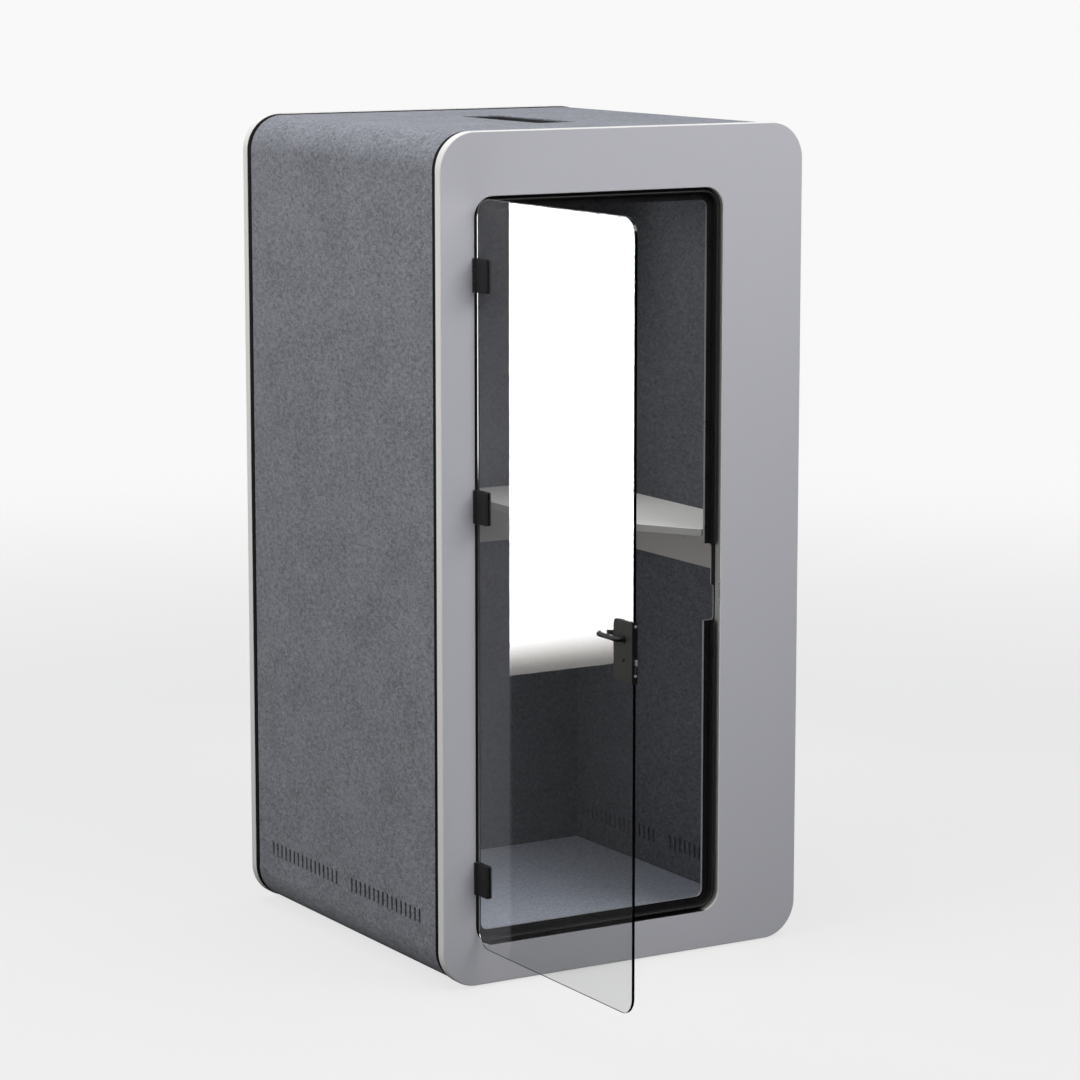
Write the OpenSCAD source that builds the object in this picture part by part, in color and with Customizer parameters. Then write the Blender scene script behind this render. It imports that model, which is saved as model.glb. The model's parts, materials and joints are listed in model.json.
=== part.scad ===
// Single-person acoustic office pod, shown with its glass door standing open.
// Frame: X to the right and Y to the back as seen from the door side, Z up, floor at zero.

/* [Body] */
// Width of the front and rear panels
body_w = 1094; // [1000:1:1200]
// Depth from the front face to the rear face
body_d = 1102; // [1000:1:1250]
// Height of the front and rear panels
body_h = 2200; // [2100:1:2350]
// Outer corner radius of the panels
corner_r = 98; // [70:1:110]
// Thickness of the front and rear boards
board_t = 25.8; // [22:0.1:32]
// Thickness of the coloured laminate on each outer face
laminate_t = 1.2; // [0.8:0.1:2]
// How far the levelling feet stand proud of the panels
foot_proud = 6; // [4:1:12]

/* [Shell] */
// Set-back of the felt behind the panel outline
shell_inset = 3; // [2:0.5:6]
// Thickness of the outer felt
felt_t = 5; // [4:0.5:7]
// Thickness of the carcass board under the felt
carcass_t = 18; // [15:1:20]
// Width of the shadow gap between panel and felt
gap_w = 17; // [12:1:20]
// Depth of the shadow gap below the panel outline
gap_depth = 1.5; // [1:0.5:16]
// Width of the dark spacer frame behind the gap, measured inwards
spacer_w = 34; // [28:1:40]
// Outside of the pod to the inner face of its side walls
wall_w = 75; // [70:1:90]
// Outside of the pod to the inner face of its rear wall
rear_wall_w = 100; // [90:1:120]
// Front face to the inner face of the front wall
front_wall_w = 58; // [56:1:80]
// Thickness of the felt-faced lining panels
lining_t = 12; // [9:1:15]

/* [Doorway] */
// Width of the front panel left of the doorway
stile_left = 98; // [80:1:110]
// Width of the front panel right of the doorway
stile_right = 248.6; // [220:0.1:270]
// Height of the front panel under the doorway
rail_bottom = 103; // [96:1:120]
// Height of the front panel over the doorway
rail_top = 163; // [150:1:190]
// Corner radius of the doorway
doorway_r = 54; // [44:1:60]
// How far the dark door frame reaches into the doorway
lip_w = 34; // [30:1:38]
// Thickness of the door frame's flange
flange_t = 4; // [3:0.5:5]
// Thickness of the door frame's raised lip
lip_t = 8; // [7:0.5:10]
// Overlap of the door frame's flange behind the panel
flange_lap = 26; // [20:1:30]
// Bottom of the keep recess in the lip, above the panel's bottom
keep_z = 888; // [860:1:895]
// Height of the keep recess
keep_h = 207; // [200:1:230]
// Height of the deeper lower part of the keep recess
keep_low_h = 96; // [80:1:110]
// What the keep recess leaves of the lip in its upper part
keep_step = 12; // [8:1:16]
// What the keep recess leaves of the flange in its lower part
keep_edge = 4; // [0:1:6]
// Corner radius of the keep recess
keep_r = 9; // [6:1:12]

/* [Air slots] */
// Width of a slot
slot_w = 9; // [7:0.5:11]
// Height of a slot
slot_h = 40; // [32:1:46]
// Distance between neighbouring slots
slot_pitch = 25; // [22:0.5:26]
// Slots in each of the two groups of a wall
slots_per_group = 16; // [12:1:16]
// Distance between the middles of the two groups
slot_group_pitch = 463; // [440:1:470]
// Bottom of the outer slots, above the panel's bottom
slot_z = 147; // [140:1:160]
// Bottom of the inner slots, above the carpet
inner_slot_rise = 66; // [50:1:80]

/* [Roof] */
// Length of the roof recess, front to back
recess_l = 422; // [380:1:440]
// Width of the roof recess
recess_w = 124; // [116:1:140]
// Depth of the roof tray
recess_d = 24; // [18:1:26]
// Offset of the recess to the left
recess_shift_x = 10; // [0:1:20]
// Offset of the recess to the front
recess_shift_y = 20; // [0:1:40]
// Side of a fan's square frame
fan_size = 100; // [90:1:104]
// Depth of a fan
fan_depth = 22; // [18:1:24]
// Distance between the two fans
fan_pitch = 210; // [180:1:240]
// Blades on a fan
fan_blades = 7; // [5:1:9]

/* [Floor] */
// Height of the carpet's surface above the panel's bottom
floor_h = 70; // [66:1:84]
// Thickness of the carpet
carpet_t = 6; // [4:0.5:8]
// Thickness of the floor board
deck_t = 18; // [15:1:20]
// Diameter of a levelling foot
foot_dia = 60; // [40:1:80]

/* [Desk] */
// Height of the desk top above the carpet
desk_h = 1058; // [1000:1:1100]
// Thickness of the desk top
desk_t = 19; // [16:1:22]
// Depth of the desk at the rear, from the side wall
desk_depth = 430; // [380:1:460]
// Depth of the desk at its front end
desk_front_depth = 196; // [160:1:240]
// Length of the slanted edge along the side wall
desk_slant = 391; // [300:1:440]
// Rounding where the slanted edge meets the long edge
desk_blend_r = 160; // [60:1:220]
// Height of the rail that carries the desk
cleat_h = 134; // [100:1:150]
// Thickness of that rail
cleat_t = 22; // [18:1:28]

/* [Door] */
// Thickness of the glass
glass_t = 8; // [8:0.5:10]
// Gap round the glass inside the doorway
glass_gap = 3; // [3:0.5:4]
// Gap under the glass inside the doorway
glass_gap_low = 4; // [3:0.5:6]
// Corner radius of the glass
glass_r = 46; // [36:1:52]
// How far the hinge axis stands in front of the front face
pivot_out = 3; // [2.5:0.5:3.5]
// How far the hinge axis lies outside the doorway's edge
pivot_side = 1; // [0.5:0.1:1.2]
// Opening angle at which the door stands
door_open = 90; // [0:1:110]

/* [Hinges] */
// Middle of the low hinge above the doorway's bottom edge
hinge_end_low = 183; // [140:1:230]
// Middle of the top hinge below the doorway's top edge
hinge_end_top = 196; // [140:1:240]
// Distance from the top hinge down to the middle one
hinge_mid_pitch = 587; // [520:1:640]
// Height of a hinge
hinge_h = 85; // [75:1:95]
// Width of a hinge's glass plates
hinge_w = 52; // [46:1:58]
// Thickness of the glass plates
hinge_plate_t = 5; // [4.5:0.5:5]
// Diameter of a hinge knuckle
knuckle_dia = 11; // [10:0.5:11.5]
// Diameter of a hinge pin
pin_dia = 5; // [4:0.5:5.5]
// Thickness of the leaf screwed into the doorway
leaf_t = 2; // [1.5:0.1:2]
// Thickness of the pads between plates and glass
pad_t = 0.5; // [0.4:0.1:0.8]

/* [Lock] */
// Bottom of the lock above the panel's bottom
lock_z = 925; // [915:1:935]
// Height of the lock
lock_h = 150; // [140:1:155]
// Width of the lock
lock_w = 85; // [80:1:104]
// Thickness of the outer cover
cover_t = 3.5; // [3:0.5:6]
// Depth of the inner cover
inner_cover_d = 2.5; // [2.5:0.5:8]
// Corner radius of the covers
cover_r = 12; // [8:1:16]
// Height of the lever's axis above the lock's bottom
lever_z = 105; // [96:1:112]
// Distance of the lever's axis from the glass edge
lever_back = 38; // [34:1:50]
// Length of the lever from its axis
lever_l = 99; // [90:1:115]
// Thickness of the lever
lever_t = 10; // [8:0.5:14]
// How far the lever's bar stands off the cover
lever_off = 16; // [14:1:32]
// Height of the key cylinder above the lock's bottom
key_z = 54; // [50:1:58]
// Diameter of the key cylinder
key_dia = 10; // [8:1:14]
// Height of the latch bolt's middle above the lock's bottom
latch_z = 53; // [51:1:57]
// Height of the dead bolt's middle above the lock's bottom
dead_z = 35; // [30:1:36]
// Height of a bolt
bolt_h = 14; // [12:1:15]
// Thickness of a bolt
bolt_t = 5; // [4:0.5:5.5]
// How far the bolts reach out of the forend
bolt_throw = 10; // [8:0.5:11]

/* [Hidden] */
$fn = 48;

// Overrun of every cut
over = 1;
// Clearance between pieces that lie face to face across a joint
slack = 0.3;
// Running clearance of a shaft in its bore, on the radius
run = 0.05;
// Full turns and part turns
quarter = 90;
half_turn = 180;
full_turn = 360;

// Levels
z0 = foot_proud;
z1 = z0 + body_h;
panel_t = board_t + laminate_t;
floor_z = z0 + floor_h;
ceiling_z = z1 - wall_w;
// Front and rear faces of the body and of its layers
face_y = -body_d / 2;
back_y = body_d / 2;
front_in = face_y + panel_t;
back_in = back_y - panel_t;
shell_y0 = front_in + gap_w;
shell_y1 = back_in - gap_w;
room_y0 = face_y + front_wall_w;
room_y1 = back_y - rear_wall_w;
room_x = body_w / 2 - wall_w;
// Insets of the layers from the panel outline
carcass_inset = shell_inset + felt_t;
core_inset = carcass_inset + carcass_t;
spacer_inset = gap_depth;
// Doorway
way_x0 = -body_w / 2 + stile_left;
way_x1 = body_w / 2 - stile_right;
way_z0 = z0 + rail_bottom;
way_z1 = z1 - rail_top;
frame_y0 = front_in;
frame_y1 = front_in + flange_t;
lip_y1 = front_in + lip_t;
// Smallest corner radius of the frame
lip_r = 12;
// Set-back of the wall structure behind the lip, outside the doorway
jamb_back = 10;
// Hinge axis and the door's own sizes, from the axis
pivot_x = way_x0 - pivot_side;
pivot_y = face_y - pivot_out;
knuckle_r = knuckle_dia / 2;
glass_x0 = knuckle_r + slack;
glass_x1 = way_x1 - glass_gap - pivot_x;
glass_z0 = way_z0 + glass_gap_low;
glass_z1 = way_z1 - glass_gap;
glass_y0 = pivot_out;
glass_y1 = pivot_out + glass_t;
hinge_zs = [way_z0 + hinge_end_low, way_z1 - hinge_end_top - hinge_mid_pitch, way_z1 - hinge_end_top];
pin_r = pin_dia / 2;
relief_r = knuckle_r + over;
knuckle_h = hinge_h / 3;
hinge_x0 = relief_r;
hinge_x1 = hinge_x0 + hinge_w;
hinge_r = 4;
// Clamp screws: distance from the plate's edges, shank and head
clamp_inset = 18;
clamp_r = 3;
clamp_head_r = 5.5;
clamp_head_t = 3;
clamp_hole_r = clamp_r + over;
// Leaf screws
leaf_y1 = board_t;
leaf_screw_r = 1.8;
leaf_head_r = 3.6;
leaf_screw_l = 16;
leaf_screw_y = 2 * leaf_y1 / 3;
leaf_screw_dz = hinge_h / 3;
// Lock, in the door's own frame
forend_t = 1.5;
forend_x0 = glass_x1 + slack;
lock_x1 = forend_x0 + forend_t;
lock_x0 = lock_x1 - lock_w;
lock_z0 = z0 + lock_z;
cover_y0 = glass_y0 - pad_t - cover_t;
cover_y1 = glass_y0 - pad_t;
inner_y0 = glass_y1 + pad_t;
inner_y1 = inner_y0 + inner_cover_d;
inner_wall = 1;
case_x0 = lock_x0 + cover_r;
case_margin = 10;
case_r = 8;
bolt_y = (glass_y0 + inner_y1) / 2;
lever_x = glass_x1 - lever_back;
lever_axis_z = lock_z0 + lever_z;
key_axis_z = lock_z0 + key_z;
latch_axis_z = lock_z0 + latch_z;
dead_axis_z = lock_z0 + dead_z;
spindle_w = 8;
rose_r = lever_t / 2 + 5;
rose_t = 2.5;
follower_r = spindle_w;
forend_screw_r = 2.2;
forend_head_r = 3.8;
forend_screw_inset = 10;
forend_screw_low = dead_axis_z - bolt_h / 2 - 2 * forend_head_r;
// Strike plate in the doorway's edge, in the pod's frame
strike_t = 2;
strike_margin = 22;
strike_clear = 0.8;
strike_z0 = dead_axis_z - strike_margin;
strike_z1 = latch_axis_z + strike_margin;
strike_y = pivot_y + bolt_y;
strike_w = 8.2;
strike_screw_r = 1.7;
strike_head_r = 3.2;
strike_screw_l = 14;
strike_screw_inset = 7;
// Ring of rubber on the frame, standing to the closed glass
seal_in = 8;
seal_w = 6;
seal_y0 = pivot_y + glass_y1 + slack;
seal_break = 5;
// Feet
foot_pad_t = foot_proud + shell_inset - slack;
foot_stud_r = 5;
foot_stud_l = 20;
foot_in = 190;
// Slot groups: bottom of the inner slots and the height of the air windows behind the slots
inner_slot_z = floor_z + inner_slot_rise;
window_h = slot_h + slot_w;
window_rib = 12;
window_pitch = slot_pitch * slots_per_group / 2;
window_l = window_pitch - window_rib;
// Roof tray, fans and ceiling
recess_x = -recess_shift_x;
recess_y = -recess_shift_y;
tray_t = 1.5;
tray_r = 8;
tray_flange = 8;
tray_z = z1 - shell_inset - recess_d;
tray_z1 = z1 - carcass_inset + tray_t;
fan_wall = 3;
fan_r = fan_size / 2 - fan_wall;
fan_hub_r = fan_size / 5;
fan_clear = 1.2;
fan_axle_r = 3;
fan_web = 5;
blade_t = 2;
tray_slot_w = 6;
tray_slot_pitch = 14;
fan_grille_r = fan_r - fan_wall;
light_x = room_x / 2;
light_r = 85;
light_t = 9;
diffuser_t = 3;
diffuser_inset = 7;
// Desk
desk_z1 = floor_z + desk_h;
desk_z0 = desk_z1 - desk_t;
desk_y0 = room_y0 + over;
desk_x0 = room_x - desk_depth;
cleat_screw_r = 3;
cleat_screw_l = 40;
cleat_head_r = 5.5;
cleat_head_t = 2.5;
cleat_screws_n = 4;

// Flat outlines. Rounded rectangle from corner to corner
module round_rect(x0, y0, x1, y1, r) {
  translate([x0 + r, y0]) square([x1 - x0 - 2 * r, y1 - y0]);
  translate([x0, y0 + r]) square([x1 - x0, y1 - y0 - 2 * r]);
  for (x = [x0 + r, x1 - r], y = [y0 + r, y1 - r]) translate([x, y]) circle(r = r, $fn = 96);
}
// Stands a flat outline (x, z) up, from depth y0 to depth y1
module stand(y0, y1) {
  translate([0, y1, 0]) rotate([quarter, 0, 0]) linear_extrude(height = y1 - y0) children();
}
// Outline of the body, drawn in by inset
module body_outline(inset) {
  round_rect(-body_w / 2 + inset, z0 + inset, body_w / 2 - inset, z1 - inset, corner_r - inset);
}
// Doorway outline, drawn in by inset (or let out where inset is negative)
module way_outline(inset) {
  round_rect(way_x0 + inset, way_z0 + inset, way_x1 - inset, way_z1 - inset, max(doorway_r - inset, lip_r));
}
// Turns the door's own frame into the pod's frame at the standing angle
module on_door() {
  translate([pivot_x, pivot_y, 0]) rotate([0, 0, -door_open]) children();
}
// Round bar along Y or X
module bar_y(r, y0, y1) {
  translate([0, y1, 0]) rotate([quarter, 0, 0]) cylinder(r = r, h = y1 - y0);
}
module bar_x(r, x0, x1) {
  translate([x0, 0, 0]) rotate([0, quarter, 0]) cylinder(r = r, h = x1 - x0);
}

// Panels
module panel_board(y0, y1) { stand(y0, y1) body_outline(0); }
module hinge_reliefs() {
  for (z = hinge_zs) translate([pivot_x, pivot_y, z - hinge_h / 2 - over])
    cylinder(r = relief_r, h = hinge_h + 2 * over);
}
module front_board() {
  color("WhiteSmoke") difference() {
    stand(face_y + laminate_t, front_in) difference() {
      body_outline(0);
      way_outline(0);
    }
    hinge_reliefs();
    strike_cut();
    for (z = hinge_zs, s = [-1, 1]) translate([0, face_y + leaf_screw_y, z + s * leaf_screw_dz])
      bar_x(leaf_screw_r + run, way_x0 - leaf_screw_l, way_x0 + over);
    for (z = [strike_z0 + strike_screw_inset, strike_z1 - strike_screw_inset]) translate([0, strike_y, z])
      bar_x(strike_screw_r + run, way_x1 - over, way_x1 + strike_screw_l + over);
  }
}
module front_laminate() {
  color("DarkGray") difference() {
    stand(face_y, face_y + laminate_t) difference() {
      body_outline(0);
      way_outline(0);
    }
    hinge_reliefs();
  }
}
module rear_board() { color("WhiteSmoke") panel_board(back_in, back_y - laminate_t); }
module rear_laminate() { color("DarkGray") panel_board(back_y - laminate_t, back_y); }

// Dark spacer frames that leave the shadow gaps
module spacer(y0, y1) {
  color("Black") stand(y0, y1) difference() {
    body_outline(spacer_inset);
    body_outline(spacer_inset + spacer_w);
  }
}
module front_spacer() { spacer(front_in, shell_y0); }
module rear_spacer() { spacer(shell_y1, back_in); }

// Rows of slots: flat outline in (y, z) of one wall's two groups
module slot_row(z, h) {
  for (g = [-1, 1], i = [0 : slots_per_group - 1])
    translate([g * slot_group_pitch / 2 + (i - (slots_per_group - 1) / 2) * slot_pitch, z + slot_w / 2]) {
      translate([-slot_w / 2, 0]) square([slot_w, h - slot_w]);
      for (e = [0, h - slot_w]) translate([0, e]) circle(d = slot_w, $fn = 16);
    }
}
// Cuts a flat (y, z) outline through a side wall, from x0 to x1
module through_wall(x0, x1) {
  translate([x0, 0, 0]) rotate([quarter, 0, quarter]) linear_extrude(height = x1 - x0) children();
}
// Two windows behind each group of slots, with a rib between them
module air_windows(h) {
  for (g = [-1, 1], e = [-1, 1])
    translate([(g * slot_group_pitch + e * window_pitch - window_l) / 2, z0 + slot_z - slot_w / 2])
      square([window_l, h]);
}
// Upright block over the roof recess, let out by grow
module roof_box(grow, z_low, z_high) {
  translate([0, 0, z_low]) linear_extrude(height = z_high - z_low)
    round_rect(recess_x - recess_w / 2 - grow, recess_y - recess_l / 2 - grow,
      recess_x + recess_w / 2 + grow, recess_y + recess_l / 2 + grow, tray_r);
}

module outer_felt() {
  color("SlateGray") difference() {
    stand(shell_y0, shell_y1) difference() {
      body_outline(shell_inset);
      body_outline(carcass_inset);
    }
    for (s = [-1, 1])
      through_wall(s * body_w / 2 - carcass_inset - over, s * body_w / 2 + carcass_inset + over)
      slot_row(z0 + slot_z, slot_h);
    roof_box(0, ceiling_z, z1);
    foot_holes(foot_stud_r + over);
  }
}
module carcass_shell() {
  color("Tan") difference() {
    stand(shell_y0, shell_y1) difference() {
      body_outline(carcass_inset);
      body_outline(core_inset);
    }
    for (s = [-1, 1]) through_wall(s * body_w / 2 - core_inset - over, s * body_w / 2 + core_inset + over)
      air_windows(window_h);
    roof_box(slack - tray_flange, ceiling_z, z1);
    foot_holes(foot_stud_r + run);
  }
}
module acoustic_core() {
  color("DimGray") difference() {
    stand(shell_y0, room_y1 + lining_t) difference() {
      body_outline(core_inset);
      translate([-room_x - lining_t, floor_z - carpet_t - deck_t])
        square([2 * (room_x + lining_t), ceiling_z + lining_t - floor_z + carpet_t + deck_t]);
    }
    for (s = [-1, 1]) through_wall(s * body_w / 2 - wall_w - over, s * body_w / 2 + wall_w + over)
      air_windows(inner_slot_z + slot_h - z0 - slot_z + slot_w);
    roof_box(slack - tray_flange, ceiling_z, z1);
    foot_holes(foot_stud_r + over);
  }
}
module rear_core() {
  color("DimGray") {
    stand(room_y1 + lining_t, shell_y1) body_outline(core_inset);
    stand(shell_y1, back_in) body_outline(spacer_inset + spacer_w);
  }
}
module front_core() {
  color("DimGray") difference() {
    stand(front_in, shell_y0) difference() {
      body_outline(spacer_inset + spacer_w);
      way_outline(-jamb_back);
    }
    stand(front_in - over, frame_y1) way_outline(-flange_lap);
  }
}

// Lining panels
module side_lining(s) {
  difference() {
    translate([s > 0 ? room_x : -room_x - lining_t, shell_y0, floor_z - carpet_t])
      cube([lining_t, room_y1 - shell_y0, ceiling_z - floor_z + carpet_t]);
    through_wall(s * (room_x + lining_t / 2) - lining_t, s * (room_x + lining_t / 2) + lining_t)
      slot_row(inner_slot_z, slot_h);
  }
}
module lining_left() { color("DarkSlateGray") side_lining(-1); }
module lining_right() { color("DarkSlateGray") side_lining(1); }
module lining_rear() {
  color("DarkSlateGray") translate([-room_x - lining_t, room_y1, floor_z - carpet_t])
    cube([2 * (room_x + lining_t), lining_t, ceiling_z + lining_t - floor_z + carpet_t]);
}
module lining_front() {
  color("DarkSlateGray") difference() {
    translate([-room_x, shell_y0, floor_z - carpet_t])
      cube([2 * room_x, room_y0 - shell_y0, ceiling_z - floor_z + carpet_t]);
    stand(shell_y0 - over, room_y0 + over) way_outline(-jamb_back);
  }
}
module lining_ceiling() {
  color("DarkSlateGray") difference() {
    translate([-room_x - lining_t, shell_y0, ceiling_z])
      cube([2 * (room_x + lining_t), room_y1 - shell_y0, lining_t]);
    for (s = [-1, 1]) translate([recess_x, recess_y + s * fan_pitch / 2, ceiling_z - over])
      linear_extrude(height = lining_t + 2 * over) fan_slots();
    translate([light_x, 0, ceiling_z - over]) cylinder(r = light_r / 3, h = lining_t + 2 * over);
  }
}
// Slots under a fan
module fan_slots() {
  n = floor(fan_grille_r / tray_slot_pitch);
  for (i = [-n : n]) translate([i * tray_slot_pitch, 0])
    square([tray_slot_w, 2 * sqrt(fan_grille_r * fan_grille_r - i * i * tray_slot_pitch * tray_slot_pitch)],
      center = true);
}

// Floor
module floor_deck() {
  color("BurlyWood") translate([-room_x - lining_t, room_y0 - lining_t, floor_z - carpet_t - deck_t])
    cube([2 * (room_x + lining_t), room_y1 - room_y0 + 2 * lining_t, deck_t]);
}
module carpet() {
  color("SlateGray") translate([-room_x, room_y0, floor_z - carpet_t])
    cube([2 * room_x, room_y1 - room_y0, carpet_t]);
}
module foot_places() {
  for (x = [-1, 1], y = [-1, 1])
    translate([x * (body_w / 2 - foot_in), y * (body_d / 2 - foot_in), 0]) children();
}
module foot_holes(r) { foot_places() cylinder(r = r, h = foot_proud + core_inset + foot_stud_l); }
module levelling_feet() {
  color("Black") foot_places() {
    cylinder(r = foot_dia / 2, h = foot_pad_t);
    cylinder(r = foot_stud_r, h = foot_proud + foot_stud_l);
  }
}

// Door frame: flange behind the panel, thicker lip in the doorway, stepped keep recess on the lock side
module door_frame() {
  color("Black") difference() {
    union() {
      stand(frame_y0, frame_y1) difference() {
        way_outline(-flange_lap);
        way_outline(lip_w);
      }
      stand(frame_y0, lip_y1) difference() {
        way_outline(seal_in + seal_w);
        way_outline(lip_w);
      }
    }
    stand(frame_y0 - over, lip_y1 + over)
      round_rect(way_x1 - 2 * lip_w, z0 + keep_z + keep_r, way_x1 - keep_step, z0 + keep_z + keep_h, keep_r);
    stand(frame_y0 - over, lip_y1 + over)
      round_rect(way_x1 - 2 * lip_w, z0 + keep_z, way_x1 - keep_edge, z0 + keep_z + keep_low_h, keep_r);
  }
}
module door_seal() {
  color("Black") difference() {
    stand(seal_y0, frame_y0) difference() {
      way_outline(seal_in);
      way_outline(seal_in + seal_w);
    }
    for (z = hinge_zs) translate([way_x0 - over, seal_y0 - over, z - hinge_h / 2 - seal_break])
      cube([lip_w, panel_t, hinge_h + 2 * seal_break]);
    translate([way_x1 - lip_w, seal_y0 - over, z0 + keep_z])
      cube([lip_w + over, panel_t, keep_h]);
  }
}
module strike_cut() {
  translate([way_x1 - over, strike_y - strike_w / 2, strike_z0])
    cube([strike_t + over, strike_w, strike_z1 - strike_z0]);
  for (z = [latch_axis_z, dead_axis_z]) translate([way_x1, strike_y - bolt_t / 2 - strike_clear, z - bolt_h / 2
    - strike_clear]) cube([bolt_throw + 2 * strike_t, bolt_t + 2 * strike_clear, bolt_h + 2 * strike_clear]);
}
module strike_plate() {
  color("Silver") difference() {
    translate([way_x1, strike_y - strike_w / 2, strike_z0]) cube([strike_t, strike_w, strike_z1 - strike_z0]);
    for (z = [latch_axis_z, dead_axis_z]) translate([way_x1 - over, strike_y - bolt_t / 2 - strike_clear,
      z - bolt_h / 2 - strike_clear]) cube([strike_t + 2 * over, bolt_t + 2 * strike_clear, bolt_h
      + 2 * strike_clear]);
    for (z = [strike_z0 + strike_screw_inset, strike_z1 - strike_screw_inset]) translate([0, strike_y, z])
      bar_x(strike_head_r + run, way_x1 - over, way_x1 + strike_t + over);
  }
}
module strike_screws() {
  color("Silver") for (z = [strike_z0 + strike_screw_inset, strike_z1 - strike_screw_inset])
    translate([0, strike_y, z]) {
      bar_x(strike_head_r, way_x1, way_x1 + strike_t);
      bar_x(strike_screw_r, way_x1, way_x1 + strike_screw_l);
    }
}

// Desk
module desk_outline() {
  x_front = room_x - desk_front_depth;
  y_turn = desk_y0 + desk_slant;
  slant_len = sqrt(pow(x_front - desk_x0, 2) + pow(desk_slant, 2));
  turn = atan2(x_front - desk_x0, desk_slant);
  cut = desk_blend_r * tan(turn / 2);
  difference() {
    polygon([[room_x, desk_y0], [x_front, desk_y0], [desk_x0, y_turn], [desk_x0, room_y1], [room_x, room_y1]]);
    difference() {
      polygon([[desk_x0, y_turn], [desk_x0 + cut * (x_front - desk_x0) / slant_len, y_turn - cut * desk_slant
        / slant_len], [desk_x0 + cut, y_turn], [desk_x0, y_turn + cut]]);
      translate([desk_x0 + desk_blend_r, y_turn + cut]) circle(r = desk_blend_r, $fn = 128);
    }
  }
}
module desk_top() {
  color("Gainsboro") translate([0, 0, desk_z0]) linear_extrude(height = desk_t) desk_outline();
}
module desk_side_cleat() {
  color("Gray") difference() {
    translate([room_x - cleat_t, desk_y0, desk_z0 - cleat_h]) cube([cleat_t, room_y1 - desk_y0, cleat_h]);
    side_screw_places() bar_x(cleat_screw_r + run, -cleat_t - over, cleat_screw_l);
  }
}
module desk_rear_cleat() {
  color("Gray") translate([desk_x0 + cleat_t, room_y1 - cleat_t, desk_z0 - cleat_h])
    cube([desk_depth - 2 * cleat_t, cleat_t, cleat_h]);
}
module side_screw_places() {
  span = room_y1 - desk_y0;
  for (i = [0 : cleat_screws_n - 1]) translate([room_x, desk_y0 + span * (i + 1 / 2) / cleat_screws_n,
    desk_z0 - cleat_h / 2]) children();
}
module cleat_screws() {
  color("Silver") side_screw_places() {
    bar_x(cleat_head_r, -cleat_t - cleat_head_t, -cleat_t);
    bar_x(cleat_screw_r, -cleat_t, 0);
  }
}

// Roof tray with its grille floor, fans under it
module roof_tray() {
  color("Black") difference() {
    union() {
      roof_box(-tray_flange, tray_z, tray_z1);
      roof_box(-slack, tray_z1 - tray_t, tray_z1);
    }
    roof_box(-tray_flange - tray_t, tray_z + tray_t, z1);
    for (s = [-1, 1]) translate([recess_x, recess_y + s * fan_pitch / 2, tray_z - over])
      linear_extrude(height = tray_t + 2 * over) fan_slots();
  }
}
module fan_place(s) { translate([recess_x, recess_y + s * fan_pitch / 2, ceiling_z + lining_t]) children(); }
module fan_frame(s) {
  color("DimGray") fan_place(s) {
    difference() {
      translate([-fan_size / 2, -fan_size / 2, 0]) cube([fan_size, fan_size, fan_depth]);
      translate([0, 0, -over]) cylinder(r = fan_r, h = fan_depth + 2 * over, $fn = 72);
    }
    difference() {
      union() {
        for (a = [0, quarter]) rotate([0, 0, a + half_turn / 4]) translate([-fan_r - over, -fan_web / 2, 0])
          cube([2 * (fan_r + over), fan_web, blade_t]);
        cylinder(r = fan_hub_r - fan_wall, h = blade_t);
      }
      translate([0, 0, -over]) cylinder(r = fan_axle_r + run, h = fan_depth);
    }
  }
}
module fan_frame_front() { fan_frame(-1); }
module fan_frame_rear() { fan_frame(1); }
module fan_rotor(s) {
  color("Black") fan_place(s) {
    cylinder(r = fan_axle_r, h = blade_t + fan_wall);
    translate([0, 0, blade_t + fan_clear]) cylinder(r = fan_hub_r, h = fan_depth - blade_t - 2 * fan_clear);
    for (i = [0 : fan_blades - 1]) rotate([0, 0, i * full_turn / fan_blades])
      translate([fan_hub_r - over, 0, fan_depth / 2 + blade_t / 2]) rotate([half_turn / 5, 0, 0])
        translate([0, -fan_depth / 2 + 2 * blade_t, -blade_t / 2])
          cube([fan_r - fan_hub_r - fan_clear, fan_depth - 4 * blade_t, blade_t]);
  }
}
module fan_rotor_front() { fan_rotor(-1); }
module fan_rotor_rear() { fan_rotor(1); }
module ceiling_light() {
  color("White") translate([light_x, 0, ceiling_z - light_t]) difference() {
    union() {
      cylinder(r = light_r, h = light_t, $fn = 96);
      cylinder(r = light_r / 3 - over, h = light_t + lining_t);
    }
    translate([0, 0, -over]) cylinder(r = light_r - diffuser_inset, h = diffuser_t + over, $fn = 96);
  }
}
module light_diffuser() {
  color("White") translate([light_x, 0, ceiling_z - light_t])
    cylinder(r = light_r - diffuser_inset - slack, h = diffuser_t, $fn = 96);
}

// Hinges. Parts fixed to the doorway
module hinge_leaf(z) {
  color("Black") translate([0, 0, z - hinge_h / 2]) difference() {
    union() {
      for (e = [0, 2 * knuckle_h + slack]) translate([pivot_x, pivot_y, e]) cylinder(r = knuckle_r,
        h = knuckle_h - slack);
      difference() {
        translate([way_x0, pivot_y, 0]) cube([leaf_t, pivot_out + leaf_y1, hinge_h]);
        translate([pivot_x, pivot_y, knuckle_h - slack]) cylinder(r = relief_r, h = knuckle_h + 2 * slack);
      }
    }
    translate([pivot_x, pivot_y, -over]) cylinder(r = pin_r + run, h = hinge_h + 2 * over);
    for (s = [-1, 1]) translate([0, face_y + leaf_screw_y, hinge_h / 2 + s * leaf_screw_dz])
      bar_x(leaf_head_r + run, way_x0 - over, way_x0 + leaf_t + over);
  }
}
module hinge_leaf_low() { hinge_leaf(hinge_zs[0]); }
module hinge_leaf_mid() { hinge_leaf(hinge_zs[1]); }
module hinge_leaf_top() { hinge_leaf(hinge_zs[2]); }
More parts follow.
